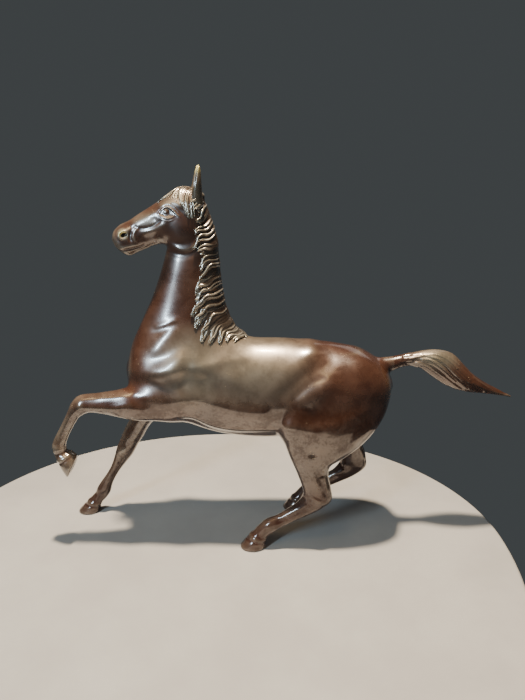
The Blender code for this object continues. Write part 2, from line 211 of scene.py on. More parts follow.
class Field:
    """Distances to the skin on a regular grid. Inside is negative."""

    def __init__(self, low, high, step):
        self.low = np.array(low, float)
        self.step = step
        self.count = np.ceil((np.array(high) - self.low) / step).astype(int) + 1
        self.d = np.full(self.count, FAR, np.float32)

    def window(self, low, high):
        """The part of the grid in a box, as slices and three axes, or None if there is none."""
        start = np.clip(np.floor((np.array(low) - self.low) / self.step).astype(int), 0, self.count)
        stop = np.clip(np.ceil((np.array(high) - self.low) / self.step).astype(int) + 1, 0, self.count)
        if np.any(stop <= start):
            return None
        axes = []
        for i in range(3):
            shape = [1, 1, 1]
            shape[i] = -1
            values = self.low[i] + self.step * np.arange(start[i], stop[i])
            axes.append(values.astype(np.float32).reshape(shape))
        return tuple(slice(a, b) for a, b in zip(start, stop)), axes

    def merge(self, other, blend, where=Ellipsis):
        self.d[where] = soft_min(self.d[where], other, blend)

    def sample(self, points):
        """Distances at points, between the grid's own by trilinear interpolation."""
        p = (points - self.low) / self.step
        base = np.clip(np.floor(p).astype(int), 0, self.count - 2)
        t = np.clip(p - base, 0, 1)
        total = 0
        for corner in range(8):
            bit = np.array([corner & 1, corner >> 1 & 1, corner >> 2 & 1])
            weight = np.prod(np.where(bit, t, 1 - t), axis=1)
            at = base + bit
            total = total + weight * self.d[at[:, 0], at[:, 1], at[:, 2]]
        return total

    def slope(self, points):
        """The direction in which the distance grows."""
        found = []
        for axis in range(3):
            way = np.zeros(3)
            way[axis] = self.step
            found.append(self.sample(points + way) - self.sample(points - way))
        found = np.stack(found, 1)
        return found / (np.linalg.norm(found, axis=1, keepdims=True) + 1e-9)

    def soften(self, times):
        for _ in range(times):
            for axis in range(3):
                blur_once(np.moveaxis(self.d, axis, 0))

    def side_skin(self, points, lift=0.0, side=-1):
        """Puts rows of X and Z on the surface that lies lift outside the skin, seen from one side."""
        points = np.array(points, float)
        steps = np.arange(WIDEST, 0.0, -0.25) * side
        line = np.zeros((len(points), len(steps), 3))
        line[:, :, 0], line[:, :, 2] = points[:, :1], points[:, 1:2]
        line[:, :, 1] = steps
        d = self.sample(line.reshape(-1, 3)).reshape(len(points), -1) - lift
        reached = d <= 0
        at = np.maximum(reached.argmax(1), 1)
        row = np.arange(len(points))
        share = d[row, at - 1] / (d[row, at - 1] - d[row, at] + 1e-9)
        y = steps[at - 1] + (steps[at] - steps[at - 1]) * np.clip(share, 0, 1)
        y = np.where(reached.any(1), y, 0.0)
        return self.onto(np.stack([points[:, 0], y, points[:, 1]], 1), lift, ~reached.any(1))

    def onto(self, points, lift, which=None):
        """Moves points along the slope to the surface that lies lift outside the skin."""
        points = np.array(points, float)
        for _ in range(3):
            move = (self.sample(points) - lift)[:, None] * self.slope(points)
            points -= move if which is None else move * which[:, None]
        return points

    def smooth_away(self, centre, radius, amount):
        """Evens out the skin round a place seen from the side, over about that many millimetres."""
        low = centre[0] - radius - 4, self.low[1], centre[1] - radius - 4
        high = centre[0] + radius + 4, self.low[1] + self.step * self.count[1], centre[1] + radius + 4
        where, (x, _, z) = self.window(low, high)
        d = self.d[where].copy()
        for _ in range(int(2 * (amount / self.step) ** 2)):
            for axis in range(3):
                blur_once(np.moveaxis(d, axis, 0))
        far = np.sqrt((x - centre[0]) ** 2 + (z - centre[1]) ** 2)
        share = np.clip((radius - far) / 5.0 + 0.5, 0, 1)
        self.d[where] = self.d[where] * (1 - share) + d * share


def soft_min(a, b, blend):
    if blend <= 0:
        return np.minimum(a, b)
    h = np.clip(0.5 + 0.5 * (b - a) / blend, 0, 1)
    return b * (1 - h) + a * h - blend * h * (1 - h)


def loft_distance(field, table):
    """Distances to the loft through the sections of a table."""
    rows = finer(table)
    found = np.full(field.count, FAR, np.float32)
    centres = np.stack([(rows[:, 0] + rows[:, 2]) / 2, rows[:, 4], (rows[:, 1] + rows[:, 3]) / 2], 1)
    halves = np.stack([rows[:, 0] - rows[:, 2], rows[:, 1] - rows[:, 3]], 1) / 2
    ways = np.stack([-halves[:, 1], halves[:, 0]], 1)
    ways /= np.linalg.norm(ways, axis=1, keepdims=True)
    spans = np.diff(centres[:, [0, 2]], axis=0)
    for i in range(len(rows)):
        along = spans[min(i, len(spans) - 1)] + spans[max(i - 1, 0)]
        if ways[i] @ along < 0:
            ways[i] = -ways[i]
    last = len(rows) - 1
    for i in range(-1, last + 1):
        a, b = max(i, 0), min(i + 1, last)
        box = []
        for j in (a, b):
            reach = np.abs(halves[j])
            size = np.array([reach[0], rows[j, 5], reach[1]])
            box += [centres[j] - size, centres[j] + size]
        place = field.window(np.min(box, 0) - LOFT_MARGIN, np.max(box, 0) + LOFT_MARGIN)
        if place is None:
            continue
        where, (x, y, z) = place
        from_a = (x - centres[a][0]) * ways[a][0] + (z - centres[a][2]) * ways[a][1]
        from_b = (x - centres[b][0]) * ways[b][0] + (z - centres[b][2]) * ways[b][1]
        if i < 0:
            t, beyond, inside = np.zeros_like(from_a), -from_a, from_a < 0
        elif i == last:
            t, beyond, inside = np.zeros_like(from_a), from_b, from_b >= 0
        else:
            t = np.clip(from_a / (from_a - from_b + 1e-9), 0, 1)
            beyond, inside = None, (from_a >= 0) & (from_b < 0)
        cx, cy, cz = (centres[a][j] * (1 - t) + centres[b][j] * t for j in range(3))
        hx, hz = (halves[a][j] * (1 - t) + halves[b][j] * t for j in range(2))
        width = rows[a, 5] * (1 - t) + rows[b, 5] * t
        half = np.sqrt(hx * hx + hz * hz) + 1e-6
        u = ((x - cx) * hx + (z - cz) * hz) / half
        v = y - cy
        radius = np.sqrt(u * u + v * v) + 1e-6
        ratio = np.sqrt((u / half) ** 2 + (v / width) ** 2) + 1e-6
        slant = np.sqrt((u / half**2) ** 2 + (v / width**2) ** 2) + 1e-9
        d = np.where(ratio > 0.5, ratio * (ratio - 1) / slant, radius * (1 - 1 / ratio))
        if beyond is not None:
            d = np.where(d > 0, np.hypot(d, beyond), np.maximum(d, beyond))
        d = np.where(inside, d, FAR)
        found[where] = np.minimum(found[where], d)
    return found


def add_loft(field, table, blend):
    field.merge(loft_distance(field, table), blend)


def add_ball(field, centre, radii, blend, tilt=0.0, cut=False):
    """An ellipsoid, tilted in the XZ plane by that many degrees, added or cut away."""
    centre, radii = np.array(centre, float), np.array(radii, float)
    reach = radii.max() + 8
    place = field.window(centre - reach, centre + reach)
    if place is None:
        return
    where, (x, y, z) = place
    cos, sin = math.cos(math.radians(tilt)), math.sin(math.radians(tilt))
    px, py, pz = x - centre[0], y - centre[1], z - centre[2]
    u, w = px * cos + pz * sin, -px * sin + pz * cos
    k0 = np.sqrt((u / radii[0]) ** 2 + (py / radii[1]) ** 2 + (w / radii[2]) ** 2) + 1e-6
    k1 = np.sqrt((u / radii[0] ** 2) ** 2 + (py / radii[1] ** 2) ** 2 + (w / radii[2] ** 2) ** 2) + 1e-6
    d = k0 * (k0 - 1) / k1
    if cut:
        field.d[where] = -soft_min(-field.d[where], d, blend)
    else:
        field.merge(d, blend, where)


def add_balls(field, centre, *rest, **more):
    """The same ellipsoid on the left and on the right."""
    for side in (-1, 1):
        add_ball(field, (centre[0], centre[1] * side, centre[2]), *rest, **more)


def evenly(points, spacing=None, count=None):
    """Points evenly along a path, at about that spacing or as many as count says."""
    gaps = np.linalg.norm(np.diff(points, axis=0), axis=1)
    at = np.concatenate([[0], np.cumsum(gaps)])
    wanted = np.linspace(0, at[-1], count or max(int(at[-1] / spacing), 1) + 1)
    return np.stack([np.interp(wanted, at, points[:, i]) for i in range(points.shape[1])], 1)


def curve(points, spacing):
    """Points along a smooth curve through the given ones, about evenly spaced."""
    points = np.array(points, float)
    if len(points) > 2:
        length = np.linalg.norm(np.diff(points, axis=0), axis=1).max()
        points = finer(points, max(int(length / spacing) + 1, 2))
    return evenly(points, spacing)


def add_strand(field, points, blend):
    """A strand of hair through rows of X, Y, Z and radius."""
    for a, b in zip(points[:-1], points[1:]):
        reach = max(a[3], b[3]) + 2.5
        place = field.window(np.minimum(a[:3], b[:3]) - reach, np.maximum(a[:3], b[:3]) + reach)
        if place is None:
            continue
        where, (x, y, z) = place
        way = b[:3] - a[:3]
        t = ((x - a[0]) * way[0] + (y - a[1]) * way[1] + (z - a[2]) * way[2]) / (way @ way + 1e-9)
        t = np.clip(t, 0, 1)
        off = (x - a[0] - t * way[0]) ** 2 + (y - a[1] - t * way[1]) ** 2 + (z - a[2] - t * way[2]) ** 2
        field.merge(np.sqrt(off) - (a[3] * (1 - t) + b[3] * t), blend, where)


def stroke(field, points, amount, width, side=0):
    """Raises the skin, or presses it in, along a curve seen from the side.

    amount is how far, width is the brush's, and side is -1 for the left, 1 for the right or 0 for both.
    The brush is a row of round touches, so it has soft ends and leaves no creases.
    """
    spread = width / 1.34
    path = curve(points, spread / 3)
    apart = ((path[:, None] - path[None]) ** 2).sum(2)
    most = np.exp(-apart / (2 * spread**2)).sum(1).max()
    low, high = path.min(0) - 3.5 * spread, path.max(0) + 3.5 * spread
    edge = field.low[1], field.low[1] + field.step * field.count[1]
    place = field.window((low[0], edge[0], low[1]), (high[0], edge[1], high[1]))
    if place is None:
        return
    where, (x, y, z) = place
    across = np.exp(-((x[:, 0, 0][:, None] - path[:, 0]) ** 2) / (2 * spread**2))
    upward = np.exp(-((z[0, 0, :][:, None] - path[:, 1]) ** 2) / (2 * spread**2))
    shape = across @ upward.T * (amount / most)
    sided = np.ones_like(y) if side == 0 else 1 / (1 + np.exp(np.clip(-side * y * 1.2, -30, 30)))
    field.d[where] -= (shape[:, None, :] * sided).astype(np.float32)


def surface(field):
    """The field's skin as vertices and quads: one vertex to each cell that the skin crosses."""
    d, inside = field.d, field.d < 0
    total = np.zeros(np.array(d.shape) - 1, np.int8)
    for corner in range(8):
        i, j, k = corner & 1, corner >> 1 & 1, corner >> 2 & 1
        nx, ny, nz = total.shape
        total += inside[i : i + nx, j : j + ny, k : k + nz]
    active = (total > 0) & (total < 8)
    cells = np.argwhere(active)
    number = np.full(active.shape, -1, np.int32)
    number[active] = np.arange(len(cells))
    place = np.zeros((len(cells), 3))
    crossings = np.zeros(len(cells))
    faces = []
    for axis in range(3):
        one, two = (axis + 1) % 3, (axis + 2) % 3
        unit = np.eye(3, dtype=int)
        for i in (0, 1):
            for j in (0, 1):
                a = cells + i * unit[one] + j * unit[two]
                b = a + unit[axis]
                fa, fb = d[tuple(a.T)], d[tuple(b.T)]
                cross = (fa < 0) != (fb < 0)
                t = np.where(cross, fa / np.where(cross, fa - fb, 1), 0)
                place += (a + t[:, None] * unit[axis]) * cross[:, None]
                crossings += cross
        near = [slice(None)] * 3
        ahead = [slice(None)] * 3
        near[axis], ahead[axis] = slice(None, -1), slice(1, None)
        first = inside[tuple(near)]
        edges = np.argwhere(first != inside[tuple(ahead)])
        limit = np.array(active.shape)
        keep = (edges[:, one] >= 1) & (edges[:, two] >= 1)
        keep &= (edges[:, one] < limit[one]) & (edges[:, two] < limit[two])
        edges = edges[keep]
        ring = [edges, edges - unit[one], edges - unit[one] - unit[two], edges - unit[two]]
        quads = np.stack([number[tuple(c.T)] for c in ring], 1)
        flip = ~first[tuple(edges.T)]
        quads[flip] = quads[flip][:, ::-1]
        faces.append(quads)
    vertices = field.low + field.step * place / crossings[:, None]
    return vertices, np.concatenate(faces)


def relax(field, vertices, faces, times=3):
    """Evens out the vertices and puts them back on the skin."""
    a = faces.ravel()
    b = np.roll(faces, -1, axis=1).ravel()
    ends = np.concatenate([a, b])
    others = np.concatenate([b, a])
    degree = np.bincount(ends, minlength=len(vertices))[:, None]
    for _ in range(times):
        mean = np.stack([np.bincount(ends, vertices[others, i], len(vertices)) for i in range(3)], 1) / degree
        vertices = vertices + 0.6 * (mean - vertices)
        vertices = vertices - field.sample(vertices)[:, None] * field.slope(vertices)
    return vertices


def biggest_part(shape):
    """Deletes everything but the largest connected part of a bmesh."""
    shape.verts.ensure_lookup_table()
    seen = np.zeros(len(shape.verts), bool)
    parts = []
    for start in shape.verts:
        if seen[start.index]:
            continue
        seen[start.index] = True
        part, stack = [], [start]
        while stack:
            vertex = stack.pop()
            part.append(vertex)
            for edge in vertex.link_edges:
                other = edge.other_vert(vertex)
                if not seen[other.index]:
                    seen[other.index] = True
                    stack.append(other)
        parts.append(part)
    parts.sort(key=len)
    for part in parts[:-1]:
        bmesh.ops.delete(shape, geom=part, context="VERTS")


def cut_off(shape, point, way, where):
    """Cuts away what lies beyond a plane, among the vertices that where accepts, and caps the cut."""
    picked = {v for v in shape.verts if where(v.co)}
    faces = [f for f in shape.faces if all(v in picked for v in f.verts)]
    edges = {e for f in faces for e in f.edges}
    verts = {v for f in faces for v in f.verts}
    geometry = list(verts) + list(edges) + faces
    bmesh.ops.bisect_plane(shape, geom=geometry, plane_co=point, plane_no=way, clear_outer=True, dist=1e-5)
    rim = [e for e in shape.edges if e.is_boundary]
    bmesh.ops.holes_fill(shape, edges=rim, sides=0)


def seam(table, index):
    """The middle of a table's section and the direction onwards, which is square to the section."""
    rows = finer(table)
    ax, az, bx, bz, y, _ = rows[index * LOFT_STEPS]
    middle = Vector(((ax + bx) / 2, y, (az + bz) / 2))
    way = Vector((-(az - bz), 0, ax - bx)).normalized()
    after = rows[index * LOFT_STEPS + 1]
    ahead = Vector(((after[0] + after[2]) / 2, y, (after[1] + after[3]) / 2)) - middle
    if way.dot(ahead) < 0:
        way = -way
    return middle, way


def stand_in(name, mesh, cad_node):
    """Makes a mesh the piece that stands for a CAD node."""
    piece = bpy.data.objects.new(name, mesh)
    bpy.context.scene.collection.objects.link(piece)
    mesh.shade_smooth()
    mesh.set_sharp_from_angle(angle=SHARP_ANGLE)
    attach(piece, "root")
    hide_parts(cad_node)
    return piece


def make_piece(name, cad_node, slot, field, cuts=(), relaxing=3):
    """Takes the skin out of a field as the piece that stands for a CAD node."""
    vertices, faces = surface(field)
    vertices = relax(field, vertices, faces, relaxing)
    mesh = bpy.data.meshes.new(name)
    mesh.from_pydata(vertices.tolist(), [], faces.tolist())
    shape = bmesh.new()
    shape.from_mesh(mesh)
    for point, way, where in cuts:
        cut_off(shape, point, way, where)
    biggest_part(shape)
    shape.to_mesh(mesh)
    shape.free()
    places = np.empty(len(mesh.vertices) * 3)
    mesh.vertices.foreach_get("co", places)
    places = (places.reshape(-1, 3) + SHIFT) * MM
    mesh.vertices.foreach_set("co", places.ravel())
    mesh.update()
    piece = stand_in(name, mesh, cad_node)
    mark_wear_and_sheen(piece, field, 1.8 if slot == "bronze_body" else 0.9)
    return piece


def setback(table):
    """The hind leg's table with the right leg's setback, on the right side."""
    found = []
    for i, (ax, az, bx, bz, y, width) in enumerate(table):
        back = HIND_SETBACK[min(i, len(HIND_SETBACK) - 1)]
        found.append((ax + back, az, bx + back, bz, -y, width))
    return tuple(found)


RIGHT_HIND_LEG = setback(HIND_LEG)

# Strokes on the body, seen from the side: points, amount, brush width, side.
BODY_STROKES = (
    # Crease at the foot of the neck, the shoulder's two ridges and the valley between them.
    (((-99, 218), (-88, 221.5), (-77, 227)), -0.5, 3.2, 0),
    (((-96, 222.5), (-86, 226), (-76, 230)), 0.6, 2.2, 0),
    (((-98, 203), (-86, 213.5), (-76, 222.5)), 1.4, 7, 0),
    (((-104, 192), (-92, 196), (-80, 202), (-68, 210)), -0.8, 6, 0),
    (((-99, 183), (-90, 185), (-80.5, 189), (-68, 197.5)), 1.4, 7, 0),
    # Hollow behind the shoulder, and the rib lobe behind it.
    (((-62, 206), (-67, 195), (-69, 182), (-72, 170)), -1.4, 6.5, 0),
    (((-55, 188), (-48, 185), (-38, 181), (-22, 179)), 1.5, 7.5, 0),
    (((-43, 209), (-46, 199), (-51, 189)), -1.3, 10, 0),
    # Upper arm and the chest between the forelegs.
    (((-150, 159), (-133, 161.5), (-111, 162), (-97, 159)), 0.9, 5, -1),
    (((-104, 176), (-92, 172), (-84, 166)), -0.6, 5, 0),
    # The ribs' widest line, low down, and the belly's fold under it.
    (((-84, 154), (-72, 158), (-58, 157), (-45, 153), (-30, 147.5), (-12, 144), (8, 143)), 1.7, 8, 0),
    (((-76, 174), (-58, 174), (-44, 170), (-28, 164), (-8, 160), (12, 159)), -0.5, 8, 0),
    (((-78, 141), (-65, 138), (-51, 130), (-37, 126), (-19, 125), (12, 127)), 0.8, 2.4, 0),
    (((-74, 136), (-62, 132), (-50, 124), (-36, 120), (-19, 119), (12, 121)), -0.7, 3.0, 0),
    # Light ridge above the flank, the flank's groove, its crease and the thigh's front ridge.
    (((17, 183), (33, 190), (44, 196)), 0.8, 6.5, 0),
    (((62, 191), (44.5, 183.5), (29, 172), (17, 161)), -1.6, 6.5, 0),
    (((56, 179), (45, 174.5), (34, 166), (25.5, 157)), -0.9, 3.0, 0),
    (((64, 177), (52, 170), (42, 161), (35, 152), (30, 146)), 1.5, 7.5, 0),
    # Front of the thigh, which stands out from the belly, and the hollow before it.
    (((20, 134), (24, 130)), 0.9, 4.5, 0),
    (((8, 148), (8, 140), (10, 130)), -0.6, 4, 0),
    # Hip, the break above the gaskin and the ridge behind it.
    (((42, 200), (47, 201)), 1.4, 6, 0),
    (((66, 198), (80, 192)), -0.5, 7, 0),
    (((24, 138), (31, 132.5), (40, 131), (52, 133), (64, 136), (76, 140.5), (98, 149)), 0.8, 6, 0),
    (((101, 134), (83, 114.5), (63.7, 98.5)), 0.8, 3.6, 0),
    (((94, 137), (76, 118), (60, 105)), -0.6, 4.5, 0),
    # Dimple round the plug on the near thigh.
    (((45.0, 106.2), (47.0, 106.6)), -1.2, 3.6, -1),
)
LEG_STROKES = (
    # Left hind leg: tendon behind the gaskin, hock, tendons along the cannon, fetlock and hoof.
    (((56, 98), (58, 86), (61, 74), (63, 64)), 0.7, 2.4, -1),
    (((50, 93), (53, 82), (57, 72), (59, 63)), -0.7, 3.0, -1),
    (((57, 84), (56, 82)), -0.8, 1.6, -1),
    (((44, 62), (52, 56), (60, 52)), 0.7, 2.6, -1),
    (((36, 44), (26, 37), (14, 30.5)), -0.8, 1.5, -1),
    (((43, 51), (31, 43), (18, 34.5)), 0.5, 1.4, -1),
    (((51, 46), (36, 37), (22, 28)), 0.5, 1.4, -1),
    (((-14, 14.5), (-5, 12.5), (5, 9.5)), 0.7, 1.1, -1),
    (((-16.5, 10.5), (-6, 9.5), (4, 7)), -0.7, 0.9, -1),
    # The right hind leg has the first two, and most of those below the hock.
    (((101, 98), (101, 86), (105, 74), (108, 64)), 0.7, 2.4, 1),
    (((94, 93), (97, 82), (101, 72), (104, 63)), -0.7, 3.0, 1),
    (((81, 44), (71, 37), (59, 30.5)), -0.8, 1.5, 1),
    (((88, 51), (76, 43), (63, 34.5)), 0.5, 1.4, 1),
    (((31, 14.5), (40, 12.5), (50, 9.5)), 0.7, 1.1, 1),
    (((28.5, 10.5), (39, 9.5), (49, 7)), -0.7, 0.9, 1),
    # Raised foreleg.
    (((-118, 155), (-135, 150), (-152, 149), (-163, 149)), 0.6, 3, -1),
    (((-112, 146), (-130, 143), (-148, 144.5)), -0.5, 2.2, -1),
    (((-166, 153), (-169, 148)), 0.6, 2.6, -1),
    (((-176, 139), (-184, 127), (-190, 115)), -0.5, 1.2, -1),
    (((-199, 92.5), (-191, 95.5), (-184, 100)), 0.7, 1.1, -1),
    (((-197.5, 89.5), (-190, 93), (-182, 98)), -0.6, 0.9, -1),
    # Standing foreleg.
    (((-122, 130), (-131, 112), (-141, 96)), -0.7, 2.4, 1),
    (((-112, 126), (-124, 106), (-134, 92)), 0.6, 2.6, 1),
    (((-141, 82), (-148, 77)), 0.7, 2.8, 1),
    (((-152, 63), (-158, 52), (-166, 40)), -0.6, 1.3, 1),
    (((-193, 14), (-184, 12.5), (-177, 9.5)), 0.7, 1.1, 1),
    (((-196, 10), (-186, 9.5), (-178, 7)), -0.7, 0.9, 1),
)


# The shoulder, the breast and the haunch, on both sides: centre, radii, blend, tilt.
MUSCLES = (
    ((-77, 15, 168), (23, 17.5, 38), 12, -20),
    ((-96, 13, 168), (20, 14, 23), 12, 10),
    ((81, 13, 151.5), (38, 21.5, 34.5), 18, 20),
)
STIFLES = (32.5, -22.5, 132), (41.5, 22.5, 132)


def sculpt(field):
    """The whole horse but for its hair and ears, in any field's own box."""
    add_loft(field, BARREL, 0)
    add_loft(field, NECK, 16)
    for centre, radii, blend, tilt in MUSCLES:
        add_balls(field, centre, radii, blend, tilt)
    for leg, blend in ((RAISED_LEG, 9), (STANDING_LEG, 9), (HIND_LEG, 5), (RIGHT_HIND_LEG, 5)):
        add_loft(field, leg, blend)
    for centre in STIFLES:
        add_ball(field, centre, (20, 17.5, 23), 5)
    add_loft(field, TAIL, 5)
    for points, amount, width, side in BODY_STROKES + LEG_STROKES:
        stroke(field, points, amount, width, side)
    add_loft(field, HEAD, 4)


def always(_):
    return True


def side_of(sign, top=math.inf):
    """Tells whether a vertex is well to one side and below a height."""
    return lambda co: co.y * sign > 4 and co.z < top


def build_body():
    """The torso, the neck and the legs, cut from the same sculpture along the CAD's seams."""
    neck_point, neck_way = seam(NECK, 2)
    head_point, head_way = seam(NECK, 5)
    tail_point, tail_way = seam(TAIL, 2)
    hind_point, hind_way = seam(HIND_LEG, 5)
    far_point, far_way = seam(RIGHT_HIND_LEG, 5)
    raised_point, raised_way = seam(RAISED_LEG, 4)
    standing_point, standing_way = seam(STANDING_LEG, 2)
    coarse = 1.2
    fine = 0.75

    torso = Field((-142, -46, 80), (132, 46, 236), coarse)
    sculpt(torso)
    torso.soften(1)
    cuts = (
        (neck_point, neck_way, always),
        (tail_point, tail_way, always),
        (hind_point, hind_way, side_of(-1)),
        (far_point, far_way, side_of(1)),
        (raised_point, raised_way, side_of(-1)),
        (standing_point, standing_way, side_of(1, top=142)),
    )
    pieces = [make_piece("torso_casting", "torso_shell", "bronze_body", torso, cuts)]

    neck = Field((-118, -28, 216), (-20, 28, 282), coarse - 0.2)
    sculpt(neck)
    neck.soften(1)
    cuts = ((neck_point, -neck_way, always), (head_point, head_way, always))
    pieces.append(make_piece("neck_casting", "neck_shell", "bronze_body", neck, cuts))

    legs = (
        ("left_hind_casting", "left_hind_leg", (-30, -50, -3), (76, -12, 98), hind_point, hind_way),
        ("right_hind_casting", "right_hind_leg", (15, 12, -3), (120, 50, 98), far_point, far_way),
        ("left_front_casting", "left_front_leg", (-210, -40, 66), (-122, -8, 172), raised_point, raised_way),
        ("right_front_casting", "right_front_leg", (-210, 8, -3), (-100, 42, 140),
         standing_point, standing_way),
    )
    for name, node, low, high, point, way in legs:
        leg = Field(low, high, fine)
        sculpt(leg)
        leg.soften(2)
        cuts = [(point, -way, always)]
        if low[2] < 0:
            cuts.append((Vector((0, 0, 0.02)), Vector((0, 0, -1)), always))
        pieces.append(make_piece(name, node, "bronze_body", leg, cuts))
    return pieces


# Strokes on the head, the same on both sides.
HEAD_STROKES = (
    # Eye socket, the hollow above the eye and the one before it.
    (((-88, 321), (-82, 323), (-75, 320)), -0.9, 3.4),
    (((-72, 325), (-67, 322)), -0.6, 2.8),
    (((-94, 317), (-90, 315.5)), -0.5, 2.6),
    # Brow.
    (((-87, 327), (-80, 330.3), (-73, 330), (-68, 326)), 0.8, 2.6),
    # Flat side of the nose, and the step under it down to the nostril.
    (((-92, 322), (-103, 316), (-112, 312.6)), 0.9, 4.6),
    (((-87, 315.4), (-93.3, 311), (-99.7, 308.8), (-106, 308.4), (-111, 310)), -0.5, 1.3),
    # Facial crest and the hollow under it.
    (((-104, 304.5), (-98.8, 305.6), (-93.2, 307.2), (-88.3, 310.2), (-81.9, 313.2)), 0.4, 2.2),
    (((-105, 299.5), (-98, 300.5), (-91, 303)), -0.5, 3.0),
    # Cheek's lower edge, and the hollows before and behind it.
    (
        ((-91, 301), (-87.2, 297.8), (-82.6, 295.2), (-76.4, 293.2), (-68.6, 291.4), (-61.5, 292.6),
         (-56.6, 297)),
        0.9,
        2.6,
    ),
    (((-84, 289), (-76, 286.6), (-67, 286), (-59, 289), (-53, 294)), -0.7, 2.4),
    (((-80, 313), (-80.5, 306.8), (-77, 300)), -0.3, 3.0),
    (((-51, 298), (-50.5, 308), (-53, 320)), -0.8, 2.6),
    # Nostril: its flare, the C-shaped fold behind it and the hollow between them.
    (((-124.5, 300), (-123.8, 304), (-120, 306.6), (-115, 307.8)), 1.0, 1.8),
    (((-107.2, 309.2), (-110.6, 306), (-112.2, 301.8), (-110.6, 297.6)), 0.45, 1.3),
    (((-113.8, 305), (-115.3, 301), (-114.8, 297.5)), -0.9, 1.5),
    # Lips: upper lip's rim, mouth, lower lip and chin.
    (((-127, 290.4), (-121.3, 292.2), (-116.4, 293.4), (-110, 294.2)), 0.35, 1.1),
    (((-127, 288.6), (-120, 290), (-113, 291.2), (-106.5, 293), (-103, 295)), -0.7, 0.75),
    (((-123.3, 286.8), (-115.1, 288.8), (-108, 291.2)), 0.3, 1.1),
    (((-119, 284.6), (-113, 285.6)), 0.6, 1.8),
)


def ring(centre, radius):
    """Rows of X and Z around a centre."""
    turns = np.linspace(0, 2 * math.pi, 21)
    return np.stack([centre[0] + radius * np.cos(turns), centre[1] + radius * np.sin(turns)], 1)


def laid(field, points, radius, lift, ends, side):
    """A strand laid on the skin through rows of X and Z, thinner at its ends."""
    path = curve(points, 0.7)
    rows = field.side_skin(path, lift, side)
    taper = np.minimum(np.linspace(0, 1, len(rows)), np.linspace(1, 0, len(rows)))
    taper = ends + (1 - ends) * np.clip(taper * 4, 0, 1)
    return np.column_stack([rows, radius * taper])


EYE = (-81.6, 322.0)
# Strands laid on the skin: points, radius, lift, and how thin the ends are.
FACE_FOLDS = (
    # Upper lid, lower lid, the fold above the eye and the one below it.
    (((-88.8, 320.6), (-86, 324), (-81.4, 326.6), (-77, 325), (-72.6, 320.6), (-70, 318.6)), 0.62, 0.1, 0.4),
    (((-88.8, 320.4), (-85.6, 318.4), (-81.4, 317.2), (-77.2, 317.9), (-73.2, 320.2)), 0.5, 0.0, 0.4),
    (((-89.4, 323), (-85.2, 327), (-80.4, 329), (-75.4, 326.8), (-70.4, 322),
      (-67.4, 318.8)), 0.5, -0.25, 0.3),
    (((-87.6, 317.6), (-83, 315.3), (-78, 315.4), (-74, 317.4)), 0.45, -0.25, 0.3),
    # The nostril's rim.
    (
        ((-118.5, 299.4), (-122.3, 299.2), (-124.6, 301.6), (-123.6, 304.8), (-120.4, 306.3),
         (-116.2, 305.7)),
        0.65,
        0.1,
        0.4,
    ),
)
FACE_STEP = 0.8  # a field coarser than this has no room for the eyes and the nostrils


def sculpt_head(field):
    """Adds what only the head has: cheeks, eyes, folds, nostrils and lips."""
    sculpt(field)
    add_balls(field, (-69.0, 3.0, 309.5), (17.5, 12.2, 17.0), 2.5)
    add_balls(field, (-67.0, 4.0, 303.0), (14.5, 10.4, 11.5), 3.0)
    field.smooth_away((-67, 309), 20, 2.4)
    for points, amount, width in HEAD_STROKES:
        stroke(field, points, amount, width)
    if field.step > FACE_STEP:
        return
    add_balls(field, (EYE[0], 9.2, EYE[1]), (5.4, 3.6, 4.4), 0.6)
    for rows in [laid(field, *fold, side) for side in (-1, 1) for fold in FACE_FOLDS]:
        add_strand(field, rows, 0.5)
    stroke(field, ring(EYE, 2.9), -0.4, 0.5)
    stroke(field, ring(EYE, 1.4), -0.35, 0.5)
    add_balls(field, (-120.2, 9.2, 302.7), (2.6, 4.2, 1.9), 0.5, tilt=12, cut=True)
    add_balls(field, (-119.8, 7.2, 300.8), (2.6, 1.6, 0.9), 0.4, tilt=20)


def build_head():
    head_point, head_way = seam(NECK, 5)
    head = Field((-138, -20, 270), (-40, 20, 346), 0.5)
    sculpt_head(head)
    head.soften(1)
    cuts = ((head_point, -head_way, always),)
    return make_piece("head_casting", "head_shell", "bronze_body", head, cuts, relaxing=2)


EAR = (
    (-61.5, 331, -50.5, 328, -7.6, 4.6),
    (-60.4, 338, -51, 337, -8.2, 4.9),
    (-59, 344.5, -51.2, 344.5, -8.9, 4.7),
    (-57.4, 351, -51.4, 351.4, -9.4, 3.7),
    (-55.7, 356.8, -51.8, 357.2, -9.7, 2.2),
    (-53.6, 360.6, -52.6, 360.7, -9.8, 0.6),
)
EAR_SCOOP = (
    (-64.6, 341, -56.8, 339, -9.2, 1.2),
    (-62.4, 345, -54.6, 344.4, -9.8, 3.1),
    (-60.2, 351, -53.2, 351.2, -10.2, 2.6),
    (-57.8, 356.2, -52.9, 356.6, -10.2, 1.4),
    (-55.4, 359.6, -52.9, 359.8, -10.0, 0.4),
)
EAR_LEAN = 3.4  # how far forward the right ear is of the left one


def build_ear(name, node, side):
    lean = EAR_LEAN if side > 0 else 0.0

    def leaned(table):
        return [(ax - lean, az, bx - lean, bz, -y * side, width) for ax, az, bx, bz, y, width in table]

    near, far = sorted((0, 18 * side))
    ear = Field((-68, near, 326), (-47, far, 363), 0.34)
    add_loft(ear, leaned(EAR), 0)
    ear.d = -soft_min(-ear.d, loft_distance(ear, leaned(EAR_SCOOP)), 0.7)
    ear.soften(1)
    return make_piece(name, node, "bronze_body", ear, relaxing=2)


